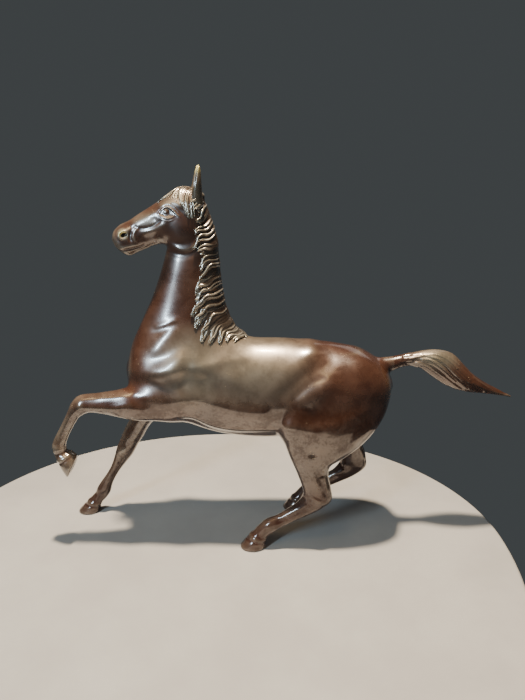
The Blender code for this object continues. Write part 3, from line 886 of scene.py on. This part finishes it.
# Locks of the mane from the crest to the tip, as X and Z seen from the left.
MANE_LOCKS = (
    ((-52, 340), (-53.5, 335), (-56.5, 332), (-60, 331)),
    ((-49.9, 337.1), (-52.7, 329), (-57.9, 326.6)),
    ((-45.1, 329), (-47.9, 322.5), (-53.2, 316.7), (-56.6, 315.1)),
    ((-41.4, 320.4), (-45, 314), (-50.6, 309.6), (-55.6, 307), (-57, 304)),
    ((-38, 310.9), (-41.6, 305.5), (-48.6, 301.2), (-54.7, 299.1), (-58.3, 294), (-60.6, 290.6)),
    ((-35.7, 301.2), (-40.2, 294.9), (-46.3, 292.3), (-54, 293.2), (-57.5, 291.5)),
    ((-34.2, 290.6), (-39.1, 286.3), (-45.7, 284.1), (-51, 281.1), (-53.8, 275.4), (-52.1, 273.2)),
    ((-33.5, 282), (-37.2, 276.7), (-43.7, 275.4), (-49.5, 272.4), (-52, 268.8), (-54, 264)),
    ((-32.9, 273.2), (-38.2, 268.8), (-46.2, 265.3), (-54.3, 262.2), (-58, 256.4), (-59.6, 251)),
    ((-31.3, 264.4), (-35.4, 260), (-42.9, 259.1), (-51, 255.5), (-56.5, 250.1), (-60.2, 247.3)),
    ((-30.6, 255.5), (-34.2, 251), (-43.2, 250.1), (-51.3, 246.4), (-58.2, 241.9), (-62.5, 235),
     (-63, 231.7)),
    ((-29.4, 246.4), (-33.5, 241.9), (-41.6, 241), (-50.7, 237.3), (-56.3, 231.7), (-59.2, 225.7),
     (-60.3, 222.4)),
    ((-27.4, 237.3), (-33.7, 233.6), (-41.9, 231.7), (-48.4, 225.7), (-52.2, 219.6), (-53.3, 214.9),
     (-54.4, 209.1)),
    ((-24.8, 228.9), (-30.3, 227.1), (-37.6, 223.3), (-43.1, 218.6), (-45.6, 213.9), (-47.1, 208.2)),
    ((-22.6, 223.3), (-28.5, 222.4), (-34.1, 218.6), (-37.8, 213), (-39.8, 208.2)),
    ((-18.7, 213.9), (-24.1, 214.9), (-29.5, 213.9), (-32.3, 209.1)),
    ((-14.5, 209.4), (-18, 211.2), (-22, 210.6), (-25.4, 208.4)),
)


STRAND_POINTS = 30


def between(locks, each, rng, gather=0.3, jitter=0.35, wave=0.0, length=16.0):
    """Strands between neighbouring locks, which gather at their tips and wave together."""
    even = [evenly(curve(lock, 0.8), count=STRAND_POINTS) for lock in locks]
    along = np.linspace(0, 1, len(even[0]))[:, None]
    found, start = [], 0.0
    for i in range(len(even) - 1):
        start += rng.uniform(0.3, 1.3)
        for j in range(each):
            share = (j + 0.5) / each
            mix = share + (round(share) - share) * gather * along**2
            path = even[i] * (1 - mix) + even[i + 1] * mix
            stray = rng.normal(0, jitter, 2) * np.sin(along * math.pi) + rng.normal(0, jitter, 2) * along
            size = np.linalg.norm(np.diff(path, axis=0), axis=1).sum()
            way = np.gradient(path, axis=0)
            way /= np.linalg.norm(way, axis=1, keepdims=True) + 1e-9
            swing = wave * np.sin(along * size / length * 2 * math.pi + start + rng.normal(0, 0.2))
            swing = swing * np.clip(along * 4, 0, 1)
            found.append(path + stray + swing * np.stack([-way[:, 1], way[:, 0]], 1))
    return found


def comb(base, hair, paths, rng, radius, lift, blend, reach, roots, tip=0.25, root=1.0):
    """Lays strands on the skin, each thickest in the middle. Size and lift vary from strand to strand.

    reach is the share of each path that is laid, roots the offset of its first point, which lies deep,
    and tip and root the shares of the radius at its ends.
    """
    for path in paths:
        keep = max(int(len(path) * reach), 3)
        rows = base.side_skin(path[:keep], lift + rng.uniform(-0.35, 0.35))
        start = base.onto(rows[:1] + np.array([roots]), lift * 0.4)
        rows = np.concatenate([start, rows])
        along = np.linspace(0, 1, len(rows))
        thick = radius * rng.uniform(0.8, 1.2) * np.clip(1.35 - along**2.2 * (1.35 - tip), 0, 1)
        thick = thick * np.clip(root + (1 - root) * along * 5, 0, 1)
        add_strand(hair, np.column_stack([rows, thick]), blend)


def build_mane():
    rng = np.random.default_rng(11)
    low, high = (-72, -34, 196), (-6, 16, 346)
    base = Field(low, high, 0.9)
    sculpt_head(base)
    mane = Field(low, high, 0.44)
    locks = between(MANE_LOCKS, 3, rng)
    comb(base, mane, locks, rng, 2.7, -0.9, blend=0.9, reach=0.86, roots=(-2.0, 5.0, 0.5))
    fine = between(MANE_LOCKS, 5, rng, gather=0.8, jitter=0.15, wave=0.8, length=17.0)
    comb(base, mane, fine, rng, 0.85, 0.9, blend=0.3, reach=0.98, roots=(-1.5, 4.0, 0.3), tip=0.3, root=0.5)
    over = between(MANE_LOCKS, 2, rng, gather=0.7, jitter=0.6, wave=1.1, length=15.0)
    comb(base, mane, over, rng, 0.95, 1.5, blend=0.3, reach=1.0, roots=(-1.0, 3.0, 0.3), tip=0.2, root=0.3)
    return make_piece("mane_hair", "mane", "bronze_hair", mane, relaxing=2)


# Locks of the forelock, as X and Z seen from the left.
FORELOCK = (
    ((-56, 341.5), (-63.1, 345.6), (-70.8, 343.4), (-78.6, 338.7), (-86.6, 332.8), (-92.4, 328.6)),
    ((-56.5, 341.5), (-60.5, 345.4), (-66, 345), (-72, 342.6), (-77.4, 338.8), (-83, 334)),
    ((-57, 342), (-59.8, 345), (-65.2, 344.6), (-70.4, 341.6), (-74, 337.6), (-75.2, 333.4)),
    ((-57.4, 342), (-58.8, 344.6), (-64.7, 343.9), (-69.4, 340.6), (-70.4, 335.9), (-68.4, 330.6),
     (-67.2, 326.8)),
    ((-57.4, 342), (-58.4, 343.7), (-63.2, 342.4), (-67.2, 338.6), (-67.4, 333.4), (-65.4, 327.4),
     (-65, 320.4)),
    ((-57.2, 341), (-57.9, 342.4), (-61.1, 340.2), (-63.5, 335.8), (-63.8, 330.6), (-62.9, 324.6),
     (-62.4, 317.2)),
    ((-57, 340), (-57.6, 341), (-59.6, 338), (-61, 333), (-60.5, 326.2), (-59.7, 317.2)),
    ((-56, 338), (-56.6, 338.6), (-57.2, 335), (-57.4, 330), (-57.2, 324), (-57, 318.4)),
)


def build_forelock():
    rng = np.random.default_rng(5)
    low, high = (-100, -22, 308), (-44, 22, 352)
    base = Field(low, high, 0.9)
    sculpt_head(base)
    hair = Field(low, high, 0.42)
    layers = (
        # Strands to a lock, gather, jitter, radius, lift, blend, reach, tip.
        (3, 0.1, 0.1, 1.9, -1.3, 0.6, 0.9, 0.25),
        (4, 0.3, 0.15, 0.72, 0.35, 0.12, 1.0, 0.4),
        (2, 0.5, 0.3, 0.62, 0.95, 0.12, 0.94, 0.4),
    )
    for each, gather, jitter, radius, lift, blend, reach, tip in layers:
        paths = between(FORELOCK, each, rng, gather, jitter)
        comb(base, hair, paths, rng, radius, lift, blend, reach, (3.0, 3.0, -1.0), tip)
    hair.d = soft_min(hair.d, hair.d[:, ::-1, :], 0.5)
    return make_piece("forelock_hair", "forelock", "bronze_hair", hair, relaxing=2)


# Strands of the tail from the dock to the tip, as X and Z seen from the left.
TAIL_LOCKS = (
    ((122, 189.6), (138, 193.4), (153.5, 196.2), (166, 197), (174, 195.6), (183, 191.6), (191, 184.6),
     (199, 176.8),
     (208.6, 168.2), (221.5, 159), (233.3, 152), (242, 148.2)),
    ((124, 188), (140, 191.6), (152, 194), (163, 194.6), (178.7, 187.9), (190.6, 175.7), (202.3, 165.6),
     (220.5, 156.2), (237, 149.6)),
    ((124, 186), (142, 188.4), (156.6, 190), (170.1, 182.2), (181.7, 172), (193.4, 162.4), (209.3, 155),
     (222, 151.6)),
    ((124, 183), (138.6, 184.6), (148.7, 186), (163.9, 179), (177.8, 168.9), (188.6, 159.5), (202, 153.6)),
    ((124, 180), (137, 181.8), (149, 178.6), (162, 169), (175.6, 160.4), (188.7, 155.3), (200.5, 152.6)),
    ((124, 177), (132, 179.4), (139.5, 177.9), (150.7, 171.1), (164.4, 161.9), (179.1, 155), (195.6, 152)),
)


def build_tail():
    rng = np.random.default_rng(23)
    tail_point, tail_way = seam(TAIL, 2)
    tail = Field((118, -14, 140), (248, 14, 204), 0.4)
    add_loft(tail, TAIL, 0)
    flow = {"gather": 0.2, "jitter": 0.3, "wave": 0.3, "length": 45.0}
    for path in between(TAIL_LOCKS, 4, rng, **flow):
        first, last = int(rng.uniform(2, 7)), int(rng.uniform(20, 31))
        stroke(tail, path[first:last:3], -rng.uniform(0.3, 0.6), rng.uniform(0.95, 1.25))
    for path in between(TAIL_LOCKS, 2, rng, **flow):
        first, last = int(rng.uniform(3, 9)), int(rng.uniform(16, 25))
        stroke(tail, path[first:last:3], rng.uniform(0.3, 0.55), 1.0)
    cuts = ((tail_point, -tail_way, always),)
    return make_piece("tail_hair", "tail", "bronze_hair", tail, cuts, relaxing=2)


class Look:
    """A material and short names for the nodes that its look is made of."""

    def __init__(self, name):
        self.material = bpy.data.materials.new(name)
        self.material.use_nodes = True
        self.tree = self.material.node_tree
        self.tree.nodes.clear()
        self.shader = self.node("BsdfPrincipled")
        self.node("OutputMaterial", {"Surface": self.shader.outputs[0]})
        self.place = self.node("TexCoord").outputs["Object"]

    def node(self, kind, inputs=None, **settings):
        """A shader node. inputs maps a socket's name or number to a value or to another node's output."""
        made = self.tree.nodes.new("ShaderNode" + kind)
        for key, value in settings.items():
            setattr(made, key, value)
        for key, value in (inputs or {}).items():
            self.put(made, key, value)
        return made

    def put(self, made, key, value):
        if isinstance(value, bpy.types.NodeSocket):
            self.tree.links.new(value, made.inputs[key])
        else:
            made.inputs[key].default_value = value

    def set(self, **looks):
        """Sets the shader's own sockets. A socket's spaces are underscores here."""
        for key, value in looks.items():
            self.put(self.shader, key.replace("_", " "), value)

    def noise(self, scale, detail, rough=0.55, distortion=0.0, place=None):
        looks = {"Scale": scale, "Detail": detail, "Roughness": rough, "Distortion": distortion}
        return self.node("TexNoise", {"Vector": place or self.place, **looks}).outputs["Fac"]

    def stretched(self, scale, turn=(0.0, 0.0, 0.0)):
        return self.node("Mapping", {"Vector": self.place, "Scale": scale, "Rotation": turn}).outputs[0]

    def attribute(self, name):
        return self.node("Attribute", attribute_name=name).outputs["Fac"]

    def ramp(self, value, low, high, to_low=0.0, to_high=1.0):
        """Maps a value smoothly from one range to another."""
        inputs = {"Value": value, 1: low, 2: high, 3: to_low, 4: to_high}
        return self.node("MapRange", inputs, interpolation_type="SMOOTHSTEP").outputs["Result"]

    def math(self, how, a, b):
        return self.node("Math", {0: a, 1: b}, operation=how).outputs[0]

    def add(self, a, b):
        return self.math("ADD", a, b)

    def less(self, a, b):
        return self.math("SUBTRACT", a, b)

    def times(self, a, b):
        return self.math("MULTIPLY", a, b)

    def most(self, a, b):
        return self.math("MAXIMUM", a, b)

    def mix(self, share, a, b):
        made = self.node("Mix", {0: share}, data_type="RGBA", blend_type="MIX")
        for key, value in ((6, a), (7, b)):
            self.put(made, key, value if isinstance(value, bpy.types.NodeSocket) else tuple(value) + (1.0,))
        return made.outputs[2]

    def bump(self, strength, distance, height):
        inputs = {"Strength": strength, "Distance": distance, "Height": height}
        return self.node("Bump", inputs).outputs[0]


def bronze(name, deep, brown, worn_and_sheen, hair=False):
    """Patinated bronze: deep in hollows, brown over all, lighter on ridges, where it is handled and where a
    sheen is painted.
    """
    look = Look(name)
    relief, rubbed_and_sheen = look.attribute("relief"), look.attribute("rubbed_and_sheen")
    cloud = look.noise(16.0, 3.0, 0.5)
    mottle = look.noise(70.0, 5.0, 0.6, 0.4)
    grain = look.noise(420.0, 4.0, 0.7)
    up = look.node("SeparateXYZ", {"Vector": look.place}).outputs["Z"]

    patch = look.add(look.times(cloud, 0.6), look.times(mottle, 0.4))
    colour = look.mix(look.ramp(patch, 0.3, 0.7), deep, brown)

    # Lighter places: handling and painted sheen from the mesh's mask, broken up by noise, and every ridge.
    wear_and_sheen = look.ramp(look.add(rubbed_and_sheen, look.times(look.less(patch, 0.5), 0.5)), 0.0, 1.1)
    colour = look.mix(wear_and_sheen, colour, worn_and_sheen)
    # Ridges are lighter: wear on high points, and on the hair's crests, with the stronger mix, also a painted
    # highlight.
    ridge = look.ramp(relief, 0.55, 0.9, 0.0, 0.7 if hair else 0.25)
    colour = look.mix(ridge, colour, [min(c * 1.35, 0.9) for c in worn_and_sheen])
    hollow = look.ramp(relief, 0.45, 0.15, 0.0, 0.9 if hair else 0.6)
    colour = look.mix(hollow, colour, [c * 0.3 for c in deep])

    # Bare brassy metal at the ears' tips and round the nostrils.
    bare = look.ramp(look.add(rubbed_and_sheen, look.times(mottle, 0.8)), 1.1, 2.3)
    colour = look.mix(bare, colour, (0.72, 0.6, 0.26))

    # Small brassy specks and thin scratches.
    cells = look.node("TexVoronoi", {"Vector": look.place, "Scale": 260.0, "Randomness": 1.0})
    chosen = look.ramp(look.noise(33.0, 2.0), 0.58, 0.64)
    marks = look.times(look.ramp(cells.outputs["Distance"], 0.12, 0.04), chosen)
    for turn in ((0.4, 0.9, 0.3), (0.2, -0.6, 1.1), (1.2, 0.3, -0.5)):
        streak = look.noise(1.0, 1.0, place=look.stretched((55.0, 1500.0, 900.0), turn))
        marks = look.most(marks, look.times(look.times(look.ramp(streak, 0.75, 0.79), chosen), 0.7))
    colour = look.mix(look.times(marks, 0.85), colour, (0.75, 0.58, 0.36))

    # Satin where handling and painted sheen lighten the colour, and on the head, glossier low down.
    rough = look.add(look.ramp(mottle, 0.3, 0.7, 0.21, 0.28), look.times(grain, 0.05))
    rough = look.add(look.add(rough, look.times(wear_and_sheen, 0.17)), look.times(hollow, 0.2))
    rough = look.less(rough, look.times(look.ramp(up, 0.165, 0.14), 0.1))
    rough = look.add(rough, look.ramp(up, 0.265, 0.29, 0.0, 0.03))
    metal = look.most(look.most(look.ramp(wear_and_sheen, 0.0, 1.0, 0.75 if hair else 0.3, 0.85), ridge), bare)
    height = look.less(look.add(look.times(grain, 0.3), look.times(mottle, 0.7)), look.times(marks, 0.15))

    # The wax is thin on the lower legs and where handling and painted sheen lighten the colour, and stained
    # in patches low down.
    near_floor = look.ramp(up, 0.09, 0.045)
    speckle = look.add(look.times(mottle, 0.55), look.times(grain, 0.45))
    stained = look.times(look.ramp(speckle, 0.56, 0.42), look.ramp(up, 0.17, 0.14, 0.1, 0.45))
    clear = look.less(1.0, stained)
    film = look.less(1.0, look.times(look.most(near_floor, wear_and_sheen), 0.75))
    mirror = look.less(0.55, look.times(near_floor, 0.2))
    colour = look.mix(stained, colour, deep)
    # Colour darker towards the bottom of the legs.
    colour = look.mix(look.times(near_floor, 0.6), colour, (0.05, 0.026, 0.021))

    look.set(Base_Color=colour, Metallic=metal, Roughness=rough, Normal=look.bump(0.13, 0.0004, height))
    look.set(Coat_Weight=look.times(film, clear), Specular_IOR_Level=look.times(mirror, clear))
    look.set(IOR=2.0, Coat_IOR=1.6, Coat_Roughness=0.13)
    return look.material


def plain_metal(name, light, dark, roughness, lines):
    """Turned or drawn metal, with fine tool lines along its length."""
    look = Look(name)
    stain = look.noise(180.0, 5.0, 0.6)
    drawn = look.noise(1.0, 3.0, 0.5, place=look.stretched(lines))
    look.set(
        Base_Color=look.mix(look.ramp(stain, 0.35, 0.65), light, dark),
        Roughness=look.ramp(stain, 0.3, 0.7, roughness - 0.05, roughness + 0.12),
        Normal=look.bump(0.3, 0.0002, drawn),
        Metallic=1.0,
    )
    return look.material


def pale_cloth():
    """Woven cloth with faint stains and light flecks."""
    look = Look("pale_cloth")
    stain = look.noise(9.0, 4.0, 0.6)
    colour = look.mix(look.ramp(stain, 0.3, 0.7), (0.355, 0.325, 0.305), (0.408, 0.375, 0.352))
    fleck = look.ramp(look.noise(1.0, 2.0, place=look.stretched((700.0, 1500.0, 900.0))), 0.66, 0.76)
    colour = look.mix(look.times(fleck, look.ramp(stain, 0.45, 0.65)), colour, (0.75, 0.72, 0.64))
    look.set(Base_Color=colour, Normal=look.bump(0.2, 0.0004, look.noise(900.0, 3.0, 0.7)), Roughness=0.75)
    return look.material


def hump(x, centre, reach):
    return np.clip(1 - ((x - centre) / reach) ** 2, 0, 1)


def spot(x, z, centre, reach):
    """A soft spot seen from the side."""
    return np.exp(-(((x - centre[0]) / reach[0]) ** 2) - ((z - centre[1]) / reach[1]) ** 2)


def mark_wear_and_sheen(piece, field, spread):
    """Stores how far each point stands out or lies in, and a mask of handling and painted sheen."""
    mesh = piece.data
    places, normals = np.empty((2, len(mesh.vertices) * 3))
    mesh.vertices.foreach_get("co", places)
    mesh.vertex_normals.foreach_get("vector", normals)
    places = places.reshape(-1, 3) / MM - SHIFT
    blurred = copy.copy(field)
    blurred.d = np.clip(field.d, -6, 6)
    blurred.soften(max(int(2 * (spread / field.step) ** 2), 2))
    relief = 0.5 + np.clip(blurred.sample(places), -0.5, 0.5)
    x, z = places[:, 0], places[:, 2]
    # Painted sheen on top of wear: the back is lighter where its skin faces up.
    back = np.clip(normals[2::3] * 1.3 + 0.1, 0, 1) * hump(x, -5, 75) * (z > 120)
    # Painted sheen on top of wear on the upper flank.
    flank = hump(x, -15, 75) * hump(z, 185, 45)
    shoulder = hump(x, -75, 38) * hump(z, 190, 45)
    # Painted highlight on top of wear on the top of the tail.
    tail = spot(x, z, (163, 190), (22, 10))
    legs = np.clip((145 - z) / 30, 0, 1) * 0.25 - np.clip((80 - z) / 30, 0, 1) * 0.15
    # Painted highlight on top of wear on the nose and the brow.
    face = np.clip(spot(x, z, (-101, 316), (12, 7)) + spot(x, z, (-79, 332), (11, 7)), 0, 1) * (z > 270)
    tips = np.clip((z - 350) / 8, 0, 1) * (np.abs(x + 51.5) < 30)
    nostril = spot(x, z, (-121.5, 304.0), (3.6, 3.2)) * (relief > 0.5)
    rubbed_and_sheen = back * 0.15 + flank * 0.5 + legs + shoulder * 0.35 + face * 0.45 + tail * 0.85
    rubbed_and_sheen = np.clip(rubbed_and_sheen, 0, 1) * (1 - tips) + 2 * np.maximum(tips, np.clip(nostril * 1.3, 0, 0.85))
    for name, values in (("relief", relief), ("rubbed_and_sheen", rubbed_and_sheen)):
        layer = mesh.attributes.new(name, "FLOAT", "POINT")
        layer.data.foreach_set("value", values.astype(np.float32))


PLUG_SIDES = 56
PLUG_SUNK = 0.12
PLUG_DEPTH = 3.0
# From the middle of the plug's face to the foot of its wall: share of the radius, rise.
PLUG_PROFILE = (
    (0.0, 0.16), (0.35, 0.15), (0.7, 0.1), (0.88, 0.04), (0.95, -0.04), (1.0, -0.16), (1.0, -PLUG_DEPTH)
)


def build_plug(name, cad_node, at, way, radius):
    """A turned plug in the skin: a slightly crowned disc with a rounded edge, and the body under it."""
    way = way.normalized()
    across = way.orthogonal().normalized()
    other = way.cross(across)
    rings = []
    for share, rise in PLUG_PROFILE:
        turns = [2 * math.pi * i / PLUG_SIDES for i in range(PLUG_SIDES)] if share > 0 else [0.0]
        centre = at + way * (rise - PLUG_SUNK)
        rings.append([centre + (across * math.cos(t) + other * math.sin(t)) * radius * share for t in turns])
    shape = bmesh.new()
    rows = [[shape.verts.new(p) for p in ring] for ring in rings]
    bottom = shape.verts.new(at - way * (PLUG_DEPTH + PLUG_SUNK))
    for i in range(PLUG_SIDES):
        j = (i + 1) % PLUG_SIDES
        shape.faces.new((rows[0][0], rows[1][i], rows[1][j]))
        for upper, lower in zip(rows[1:-1], rows[2:]):
            shape.faces.new((upper[i], lower[i], lower[j], upper[j]))
        shape.faces.new((rows[-1][i], bottom, rows[-1][j]))
    bmesh.ops.recalc_face_normals(shape, faces=shape.faces[:])
    for vertex in shape.verts:
        vertex.co = (vertex.co + Vector(SHIFT)) * MM
    mesh = bpy.data.meshes.new(name)
    shape.to_mesh(mesh)
    shape.free()
    return stand_in(name, mesh, cad_node)


def build_plugs():
    """The plugs sit on the torso's own skin, square to it."""
    torso = Field((-45, -46, 92), (60, 46, 125), 1.2)
    sculpt(torso)
    places = [("thigh_plug", "left_thigh_plug", torso.side_skin(((46.0, 106.3),)), 3.6)]
    for end, x in (("front", -35.1), ("rear", 24.7)):
        line = np.array([(x, 0.0, z) for z in np.arange(100.0, 130.0, 0.2)])
        at = line[(torso.sample(line) < 0).argmax()][None]
        places.append((f"{end}_belly_plug", f"belly_{end}_plug", at, 3.0))
    return [
        build_plug(name, cad_node, Vector(at[0]), Vector(torso.slope(at)[0]), radius)
        for name, cad_node, at, radius in places
    ]


TABLE_MIDDLE = np.array((-46.0, -18.0))
TABLE_HALF_WIDTH = 288.4
TABLE_BEHIND = 226.6  # from the middle to the far edge
TABLE_BEFORE = 300.0  # from the middle to the near edge, which the camera doesn't see
TABLE_ROUNDING = 4.0
TABLE_DROP = 60.0
TABLE_SIDES = 160


def build_stage():
    """A pale oval table top with a rolled edge, which stands for the floor."""
    middle = TABLE_MIDDLE + SHIFT[:2]
    profile = [(0.96, 0.0)]
    for t in np.linspace(0.1, math.pi / 2, 8):
        profile.append((1.0 + 0.012 * math.sin(t), TABLE_ROUNDING * (math.cos(t) - 1)))
    profile.append((1.012, -TABLE_DROP))
    vertices = []
    for share, z in profile:
        for i in range(TABLE_SIDES):
            t = 2 * math.pi * i / TABLE_SIDES
            deep = TABLE_BEHIND if math.sin(t) > 0 else TABLE_BEFORE
            x = middle[0] + TABLE_HALF_WIDTH * share * math.cos(t)
            y = middle[1] + deep * share * math.sin(t)
            vertices.append((x * MM, y * MM, z * MM))
    faces = [tuple(range(TABLE_SIDES))]
    for row in range(len(profile) - 1):
        for i in range(TABLE_SIDES):
            j = (i + 1) % TABLE_SIDES
            a, b = row * TABLE_SIDES, (row + 1) * TABLE_SIDES
            faces.append((a + i, b + i, b + j, a + j))
    mesh = bpy.data.meshes.new("table_top")
    mesh.from_pydata(vertices, [], faces)
    mesh.update()
    mesh.materials.append(pale_cloth())
    floor = bpy.data.objects.new("table_top", mesh)
    bpy.context.scene.collection.objects.link(floor)


# Name, place, target, width, height or None for a disk, watts, colour.
LIGHTS = (
    ("overhead", (-0.06, -0.06, 1.35), (-0.02, 0.0, 0.1), 0.075, None, 48.0, (1.0, 0.87, 0.66)),
    ("ceiling_wide", (-0.42, -0.62, 1.22), (-0.02, 0.0, 0.2), 0.8, 0.5, 1.6, (1.0, 0.76, 0.4)),
    ("ceiling_middle", (-0.45, -0.62, 1.2), (-0.02, 0.0, 0.2), 0.5, 0.24, 0.9, (1.0, 0.76, 0.4)),
    ("ceiling_lamp", (-0.48, -0.62, 1.18), (-0.02, 0.0, 0.2), 0.3, 0.1, 0.4, (1.0, 0.82, 0.5)),
    ("window_wide", (-0.87, -0.97, 0.64), (-0.06, 0.0, 0.2), 0.2, 0.6, 2.2, (0.62, 0.84, 1.0)),
    ("window", (-0.85, -0.95, 0.64), (-0.06, 0.0, 0.2), 0.08, 0.45, 11.5, (0.6, 0.83, 1.0)),
    ("back", (0.6, 0.9, 0.9), (0.0, 0.0, 0.2), 0.5, 0.5, 0.5, (1.0, 0.95, 0.9)),
)
CAMERA_AWAY, CAMERA_UP = 0.473, 0.349
CAMERA_DOWN = math.radians(18)  # how far it looks down
FOCAL_SHARE = 1.001905  # the lens's focal length over the picture's width
SENSOR_WIDTH = 36.0


def build_lights():
    world = bpy.data.worlds.new("room")
    world.use_nodes = True
    background = world.node_tree.nodes["Background"]
    background.inputs["Color"].default_value = (0.058, 0.065, 0.068, 1.0)
    background.inputs["Strength"].default_value = 0.92
    bpy.context.scene.world = world
    for name, at, towards, width, height, power, colour in LIGHTS:
        data = bpy.data.lights.new(name, "AREA")
        data.energy, data.color, data.size = power, colour, width
        data.shape = "RECTANGLE" if height else "DISK"
        if height:
            data.size_y = height
        lamp = bpy.data.objects.new(name, data)
        lamp.location = at
        lamp.rotation_euler = (Vector(towards) - Vector(at)).to_track_quat("-Z", "Y").to_euler()
        bpy.context.scene.collection.objects.link(lamp)


def build_camera():
    lens = bpy.data.cameras.new("camera")
    lens.sensor_fit = "HORIZONTAL"
    lens.sensor_width = SENSOR_WIDTH
    lens.lens = SENSOR_WIDTH * FOCAL_SHARE
    lens.clip_start = 0.01
    camera = bpy.data.objects.new("camera", lens)
    camera.location = (SHIFT[0] * MM, -CAMERA_AWAY, CAMERA_UP)
    camera.rotation_euler = (math.pi / 2 - CAMERA_DOWN, 0.0, 0.0)
    bpy.context.scene.collection.objects.link(camera)
    bpy.context.scene.camera = camera


def main():
    build_lights()
    build_camera()
    build_stage()
    body = bronze("patina", (0.042, 0.013, 0.006), (0.105, 0.039, 0.018), (0.37, 0.31, 0.225))
    locks = bronze("chased_hair", (0.07, 0.035, 0.022), (0.17, 0.115, 0.08), (0.56, 0.5, 0.4), hair=True)
    ears = bronze("ear_patina", (0.02, 0.009, 0.006), (0.075, 0.037, 0.024), (0.3, 0.23, 0.14))
    brass = plain_metal("turned_brass", (0.42, 0.25, 0.1), (0.2, 0.09, 0.04), 0.35, (300.0, 2500.0, 2500.0))
    plug = plain_metal("patinated_plug", (0.1, 0.05, 0.03), (0.05, 0.02, 0.012), 0.3, (400.0, 400.0, 2500.0))
    steel = plain_metal("drawn_steel", (0.5, 0.5, 0.5), (0.3, 0.29, 0.28), 0.3, (80.0, 3000.0, 3000.0))
    looks = (
        (body, build_body() + [build_head()]),
        (ears, [build_ear("ear_left", "left_ear", -1), build_ear("ear_right", "right_ear", 1)]),
        (body, [build_tail()]),
        (locks, [build_mane(), build_forelock()]),
        (plug, build_plugs()),
    )
    for material, pieces in looks:
        for piece in pieces:
            piece.data.materials.append(material)
    pins = [f"{side}_{end}_leg_pin" for side in ("left", "right") for end in ("front", "hind")]
    for name in pins + ["tail_stud"]:
        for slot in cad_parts[name].material_slots:
            slot.material = steel if name == "tail_stud" else brass


main()
